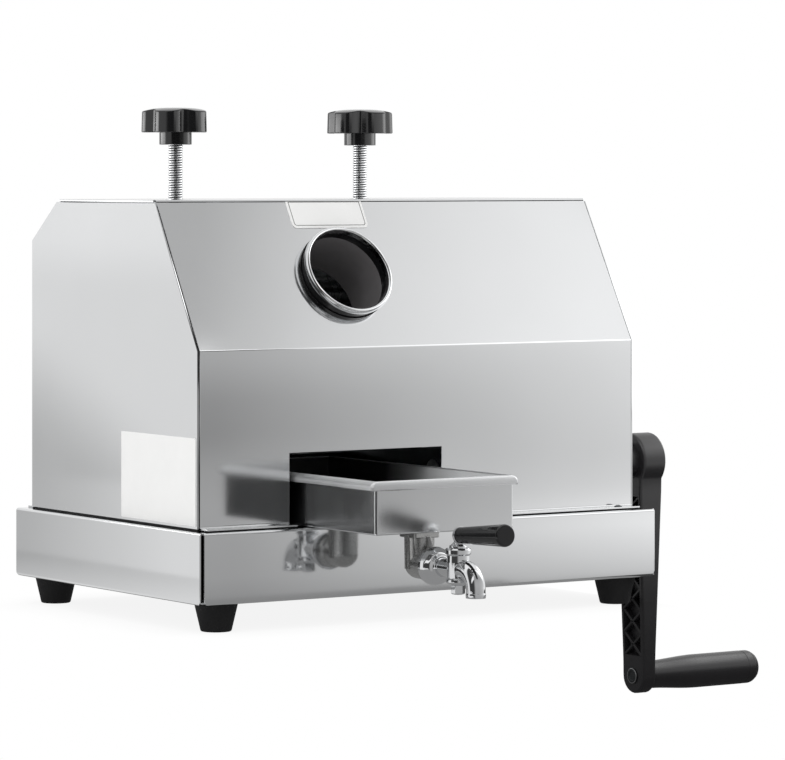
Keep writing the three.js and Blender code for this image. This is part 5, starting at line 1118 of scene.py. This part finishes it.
def world(diffuse):
    """White to the camera, to reflections and through glass, and a dimmer even light to matt surfaces."""
    sky = bpy.data.worlds.new("white_room")
    sky.use_nodes = True
    tree = sky.node_tree
    tree.nodes.clear()
    rays = add(tree, "ShaderNodeLightPath").outputs
    seen = add(tree, "ShaderNodeMath", {"operation": "MAXIMUM"},
               {0: rays["Is Camera Ray"], 1: rays["Is Glossy Ray"]})
    seen = add(tree, "ShaderNodeMath", {"operation": "MAXIMUM"},
               {0: seen.outputs[0], 1: rays["Is Transmission Ray"]})
    strength = add(tree, "ShaderNodeMapRange", {"To Min": diffuse, "To Max": 1.0}, {"Value": seen.outputs[0]})
    light = add(tree, "ShaderNodeBackground", {"Color": (1, 1, 1, 1)}, {"Strength": strength.outputs[0]})
    add(tree, "ShaderNodeOutputWorld", {}, {"Surface": light.outputs[0]})
    sky.cycles.sampling_method = "NONE"
    bpy.context.scene.world = sky


def floor(glow, shadow):
    """A white counter that ends under the crank.

    The camera sees it as a clear film, dark only where the machine stands close over it. Reflections see
    it as a grey card, and everything else is lit by it as by white paper.
    """
    end, far = 256.5 * MM, 30.0
    points = np.array([(-far, -far, 0), (end, -far, 0), (end, far, 0), (-far, far, 0)])
    mesh = bpy.data.meshes.new("floor")
    mesh.from_pydata(points.tolist(), [], [[0, 1, 2, 3]])
    material, tree = blank_material("white_paper")
    rays = add(tree, "ShaderNodeLightPath").outputs
    place = add(tree, "ShaderNodeTexCoord").outputs["Object"]
    fibre = add(tree, "ShaderNodeTexNoise", {"Scale": 1 / (300.0 * MM)}, {"Vector": place})
    tint = add(tree, "ShaderNodeMix", {"data_type": "RGBA", 6: linear("#e6e6e6"), 7: linear("#e9e9e9")},
               {0: fibre.outputs[0]})
    paper = add(tree, "ShaderNodeBsdfDiffuse", {}, {"Color": tint.outputs[2]})
    light = add(tree, "ShaderNodeEmission", {"Strength": glow})
    lit = add(tree, "ShaderNodeAddShader", {}, {0: paper.outputs[0], 1: light.outputs[0]})
    close = add(tree, "ShaderNodeAmbientOcclusion", {"Distance": 0.09, "samples": 12})
    clear = add(tree, "ShaderNodeMapRange", {"From Max": 0.85, "To Min": 1 - shadow, "To Max": 1.0},
                {"Value": close.outputs["AO"]})
    film = add(tree, "ShaderNodeBsdfTransparent", {}, {"Color": clear.outputs[0]})
    x, y, _ = add(tree, "ShaderNodeSeparateXYZ", {}, {0: place}).outputs
    left = add(tree, "ShaderNodeMath", {"operation": "LESS_THAN", 1: -end}, {0: x})
    fading = add(tree, "ShaderNodeMapRange",
                 {"From Min": 0.1, "From Max": 0.6, "To Min": 0.86, "To Max": 0.5}, {"Value": y})
    tone = add(tree, "ShaderNodeMix", {"data_type": "FLOAT", 2: 0.3},
               {0: left.outputs[0], 3: fading.outputs[0]})
    grey = add(tree, "ShaderNodeEmission", {}, {"Strength": tone.outputs[0]})
    seen = add(tree, "ShaderNodeMixShader", {},
               {0: rays["Is Camera Ray"], 1: lit.outputs[0], 2: film.outputs[0]})
    every = add(tree, "ShaderNodeMixShader", {},
                {0: rays["Is Glossy Ray"], 1: seen.outputs[0], 2: grey.outputs[0]})
    add(tree, "ShaderNodeOutputMaterial", {}, {"Surface": every.outputs[0]})
    mesh.materials.append(material)
    put("floor", mesh)


def card_tones(x, y, z, low):
    """How bright the cards are, at points round the machine in millimetres.

    The front card darkens to the left, and the tones of its upper part slant. The left card darkens low
    down and at its front end. Bright and dark bands put lights and darks on the sheet and the knobs.
    """

    def band(value, start, rise, stop, fall):
        """0 up to start, 1 from start + rise to stop, and 0 again past stop + fall."""
        return smooth((value - start) / rise) - smooth((value - stop) / fall)

    # Below 300 mm the front card shows in the upright front and the base, and above 600 mm in the slope
    heights = [-250, -20, 0, 20, 55, 85, 122, 155, 190, 230, 300]
    left = np.interp(z, heights, [0.05, 0.10, 0.36, 0.42, 0.44, 0.46, 0.42, 0.33, 0.36, 0.50, 0.52])
    right = np.interp(z, heights, [0.05, 0.10, 0.74, 0.88, 1.10, 0.86, 0.80, 0.84, 0.89, 0.94, 1.00])
    near = left + (right - left) * np.clip((x + 50) / 500, 0, 1.2)
    far = np.interp(x - 0.63 * (z - 708), [60, 140, 255, 430, 600], [0.55, 0.68, 0.87, 1.02, 1.14])
    front = near + (far - near) * smooth((z - 300) / 300)
    # Between them it shows in the knobs and screws: a wash of light on the right, a bright patch on the left
    front *= 1 + 0.6 * band(z, 240, 30, 560, 100) * smooth((x - 40) / 60)
    front *= 1 + 2.5 * band(z, 480, 40, 640, 80) * smooth((100 - x) / 60)
    # Its left end is dark but for one light band, and a dark patch lies under the bright one
    front += (np.where((z > 150) & (z < 240), 1.0, 0.05) - front) * smooth((-130 - x) / 80)
    front += (0.06 - front) * smooth((90 - x) / 80) * band(z, 315, 25, 440, 40)
    # The left card shows in the side panel, and its bright patch in the knobs
    back = np.clip((y - 320) / 320, 0, 1)
    shade = np.where(z < 85, back, 1.0) * smooth((130 + 130 * back - z) / 150)
    side = 0.885 - 0.32 * shade + 0.115 * smooth((z - 290) / 60)
    side += (0.05 - side) * smooth((-150 - y) / 80)
    side += 5.0 * smooth((y - 90) / 60) * band(z, 418, 18, 490, 50)
    # The right and rear cards are pale, with one bright patch at the right for the screws
    rest = 0.95 + 2.6 * band(z, 300, 60, 620, 120) * smooth((100 - y) / 100) * (x > 700)
    others = np.where(z < 0, 0.1, np.where(x < low[0] + 1, side, rest))
    return np.where(y < low[1] + 1, front, others)


def surround(strength):
    """Upright cards on four sides and one underneath, which only reflections see."""
    low, high = np.array([-520.0, -440.0]), np.array([760.0, 760.0])
    share = np.linspace(0, 1, 65)[:-1, None]
    corners = np.array([low, [high[0], low[1]], high, [low[0], high[1]]])
    loop = np.concatenate([a + (b - a) * share for a, b in zip(corners, np.roll(corners, -1, 0))])
    z = np.concatenate([np.linspace(-250, 300, 56), np.linspace(320, 1500, 60)])
    points = np.concatenate([np.broadcast_to(loop, (len(z), *loop.shape)),
                             np.broadcast_to(z[:, None, None], (len(z), len(loop), 1))], -1)
    data, faces = together([grid(points, round_columns=True), lid(points[0])])
    tone = card_tones(*data.T, low)
    mesh = bpy.data.meshes.new("surround")
    mesh.from_pydata((data * MM).tolist(), [], faces)
    mesh.attributes.new("tone", "FLOAT", "POINT").data.foreach_set("value", tone * strength)
    material, tree = blank_material("grey_cards")
    value = add(tree, "ShaderNodeAttribute", {"attribute_name": "tone"}).outputs["Fac"]
    light = add(tree, "ShaderNodeEmission", {}, {"Strength": value})
    add(tree, "ShaderNodeOutputMaterial", {}, {"Surface": light.outputs[0]})
    mesh.materials.append(material)
    cards = put("surround", mesh)
    for kind in ("camera", "diffuse", "transmission", "volume_scatter", "shadow"):
        setattr(cards, f"visible_{kind}", False)


def lamp(name, place, target, size, power):
    """A square area lamp aimed at a point, which the camera doesn't see."""
    data = bpy.data.lights.new(name, "AREA")
    data.shape, data.size, data.energy = "SQUARE", size, power
    item = put(name, data)
    item.location = place
    item.rotation_euler = (Vector(target) - Vector(place)).to_track_quat("-Z", "Y").to_euler()
    item.visible_camera = False


# The add-on

class JuicerSettings(bpy.types.PropertyGroup):
    """What a user would change on the machine."""

    sheet_colour: FloatVectorProperty(
        name="Sheet colour", description="Tint of the polished sheet", subtype="COLOR", size=4, min=0, max=1,
        default=linear("#e0e1e2"))
    sheet_roughness: FloatProperty(
        name="Sheet roughness", description="Blur of the reflections in the polished sheet", default=0.11,
        min=0.02, max=0.6)
    plastic_colour: FloatVectorProperty(
        name="Plastic colour", description="Colour of the knobs and of the tap's grip", subtype="COLOR",
        size=4, min=0, max=1, default=linear("#141415"))
    crank_colour: FloatVectorProperty(
        name="Crank colour", description="Colour of the crank's arm and grip", subtype="COLOR", size=4, min=0,
        max=1, default=linear("#222123"))
    label_colour: FloatVectorProperty(
        name="Label colour", description="Colour of the two bare label plates", subtype="COLOR", size=4,
        min=0, max=1, default=linear("#ececeb"))
    sheet_edge: FloatProperty(
        name="Sheet edge", description="Width of the broken edges of the sheet metal", unit="LENGTH",
        default=0.0003, min=0.0001, max=0.0006)
    thread_pitch: FloatProperty(
        name="Thread pitch", description="Pitch of the thread of the pressure screws", unit="LENGTH",
        default=0.00233, min=0.001, max=0.004)
    knob_lobes: IntProperty(
        name="Knob lobes", description="Number of lobes round each star knob", default=5, min=4, max=9)
    knob_depth: FloatProperty(
        name="Knob groove depth", description="Depth of the grooves between the lobes", unit="LENGTH",
        default=0.0072, min=0.001, max=0.009)


class JuicerStage(bpy.types.PropertyGroup):
    """The light that the machine stands in."""

    sky: FloatProperty(
        name="Room light", description="Strength of the even light on matt surfaces", default=0.6, min=0,
        max=2)
    floor_glow: FloatProperty(
        name="Floor glow", description="Light that the paper floor adds to what falls on it", default=0.42,
        min=0, max=1)
    shadow: FloatProperty(
        name="Shadow", description="How much the floor darkens close under the machine", default=0.12, min=0,
        max=1)
    cards: FloatProperty(
        name="Cards", description="Strength of the cards that the metal reflects", default=1.0, min=0, max=2)
    key: FloatProperty(
        name="Key lamp", description="Power of the large lamp from the upper left", unit="POWER",
        default=40.0, min=0, max=400)


class JUICER_OT_base(bpy.types.Operator):
    """Build the folded base and its four rubber feet"""

    bl_idname = "juicer.base"
    bl_label = "Base and feet"

    def execute(self, context):
        settings = context.scene.juicer
        base_pan(settings.sheet_edge / MM)
        for end, sign_y in (("front", -1), ("rear", 1)):
            for side, sign_x in (("left", -1), ("right", 1)):
                foot(f"foot_{end}_{side}", sign_x, sign_y)
        return {"FINISHED"}


class JUICER_OT_housing(bpy.types.Operator):
    """Build the housing's panels, the top cover and the screw of the front panel"""

    bl_idname = "juicer.housing"
    bl_label = "Housing"

    def execute(self, context):
        settings = context.scene.juicer
        side_panel("left_side_panel", -1)
        side_panel("right_side_panel", 1)
        front_panel(settings.sheet_edge / MM)
        rear_panel(settings.sheet_edge / MM)
        top_cover(settings.sheet_edge / MM)
        panel_screw()
        return {"FINISHED"}


class JUICER_OT_feed(bpy.types.Operator):
    """Build the feed ring and the chute behind it"""

    bl_idname = "juicer.feed"
    bl_label = "Feed ring and chute"

    def execute(self, context):
        feed_ring()
        feed_chute()
        return {"FINISHED"}


class JUICER_OT_labels(bpy.types.Operator):
    """Build the two bare label plates"""

    bl_idname = "juicer.labels"
    bl_label = "Label plates"

    def execute(self, context):
        labels()
        return {"FINISHED"}


class JUICER_OT_pressure(bpy.types.Operator):
    """Build the pressure screws and their star knobs"""

    bl_idname = "juicer.pressure"
    bl_label = "Pressure screws"

    def execute(self, context):
        settings = context.scene.juicer
        for side in SCREW_XS:
            pressure_screw(side, settings.thread_pitch / MM)
            star_knob(side, settings.knob_lobes, settings.knob_depth / MM)
        return {"FINISHED"}


class JUICER_OT_tray(bpy.types.Operator):
    """Build the juice tray, its outlet elbow, the tap and the tap's lever"""

    bl_idname = "juicer.tray"
    bl_label = "Tray and tap"

    def execute(self, context):
        juice_tray()
        elbow()
        tap()
        tap_lever()
        return {"FINISHED"}


class JUICER_OT_crank(bpy.types.Operator):
    """Build the crank's arm, bolt, pin and grip"""

    bl_idname = "juicer.crank"
    bl_label = "Crank"

    def execute(self, context):
        crank_arm()
        crank_fastenings()
        crank_grip()
        return {"FINISHED"}


class JUICER_OT_rollers(bpy.types.Operator):
    """Build the three fluted rollers"""

    bl_idname = "juicer.rollers"
    bl_label = "Rollers"

    def execute(self, context):
        roller("bottom_front_roller", "front_roller", -30.5, 213.0, 126.0)
        roller("bottom_rear_roller", "rear_roller", 65.5, 213.0, 82.6)
        roller("top_roller", "upper_roller", 17.5, 281.935, 82.6)
        return {"FINISHED"}


class JUICER_OT_frame_parts(bpy.types.Operator):
    """Give the frame, gears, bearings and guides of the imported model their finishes"""

    bl_idname = "juicer.frame_parts"
    bl_label = "Frame and gears"

    def execute(self, context):
        for part in frame["record"]["subparts"]:
            node = frame["nodes"][part["node"]]
            node.data.materials.clear()
            node.data.materials.append(finish(part["material_slot"]))
        return {"FINISHED"}


class JUICER_OT_stage(bpy.types.Operator):
    """Set up the camera, the white floor, the light and the cards that the metal reflects"""

    bl_idname = "juicer.stage"
    bl_label = "Stage"

    def execute(self, context):
        settings = context.scene.juicer_stage
        context.scene.view_settings.view_transform = "Standard"
        camera()
        world(settings.sky)
        floor(settings.floor_glow, settings.shadow)
        surround(settings.cards)
        lamp("key", (-1.6, -1.4, 2.4), (0, 0, 0.2), 1.8, settings.key)
        return {"FINISHED"}


STEPS = (JUICER_OT_base, JUICER_OT_housing, JUICER_OT_feed, JUICER_OT_labels, JUICER_OT_pressure,
         JUICER_OT_tray, JUICER_OT_crank, JUICER_OT_rollers, JUICER_OT_frame_parts, JUICER_OT_stage)


class JUICER_PT_panel(bpy.types.Panel):
    """The sidebar tab that lists the settings and the steps"""

    bl_idname = "JUICER_PT_panel"
    bl_label = "Sugarcane juicer"
    bl_space_type = "VIEW_3D"
    bl_region_type = "UI"
    bl_category = "Juicer"

    def draw(self, context):
        for settings in (context.scene.juicer, context.scene.juicer_stage):
            box = self.layout.box()
            for name in settings.__annotations__:
                box.prop(settings, name)
        for step in STEPS:
            self.layout.operator(step.bl_idname)


CLASSES = (JuicerSettings, JuicerStage, *STEPS, JUICER_PT_panel)


def register():
    for item in CLASSES:
        bpy.utils.register_class(item)
    bpy.types.Scene.juicer = PointerProperty(type=JuicerSettings)
    bpy.types.Scene.juicer_stage = PointerProperty(type=JuicerStage)


def unregister():
    del bpy.types.Scene.juicer_stage
    del bpy.types.Scene.juicer
    for item in reversed(CLASSES):
        bpy.utils.unregister_class(item)


def main():
    register()
    for step in STEPS:
        group, name = step.bl_idname.split(".")
        getattr(getattr(bpy.ops, group), name)()


if __name__ == "__main__":
    main()
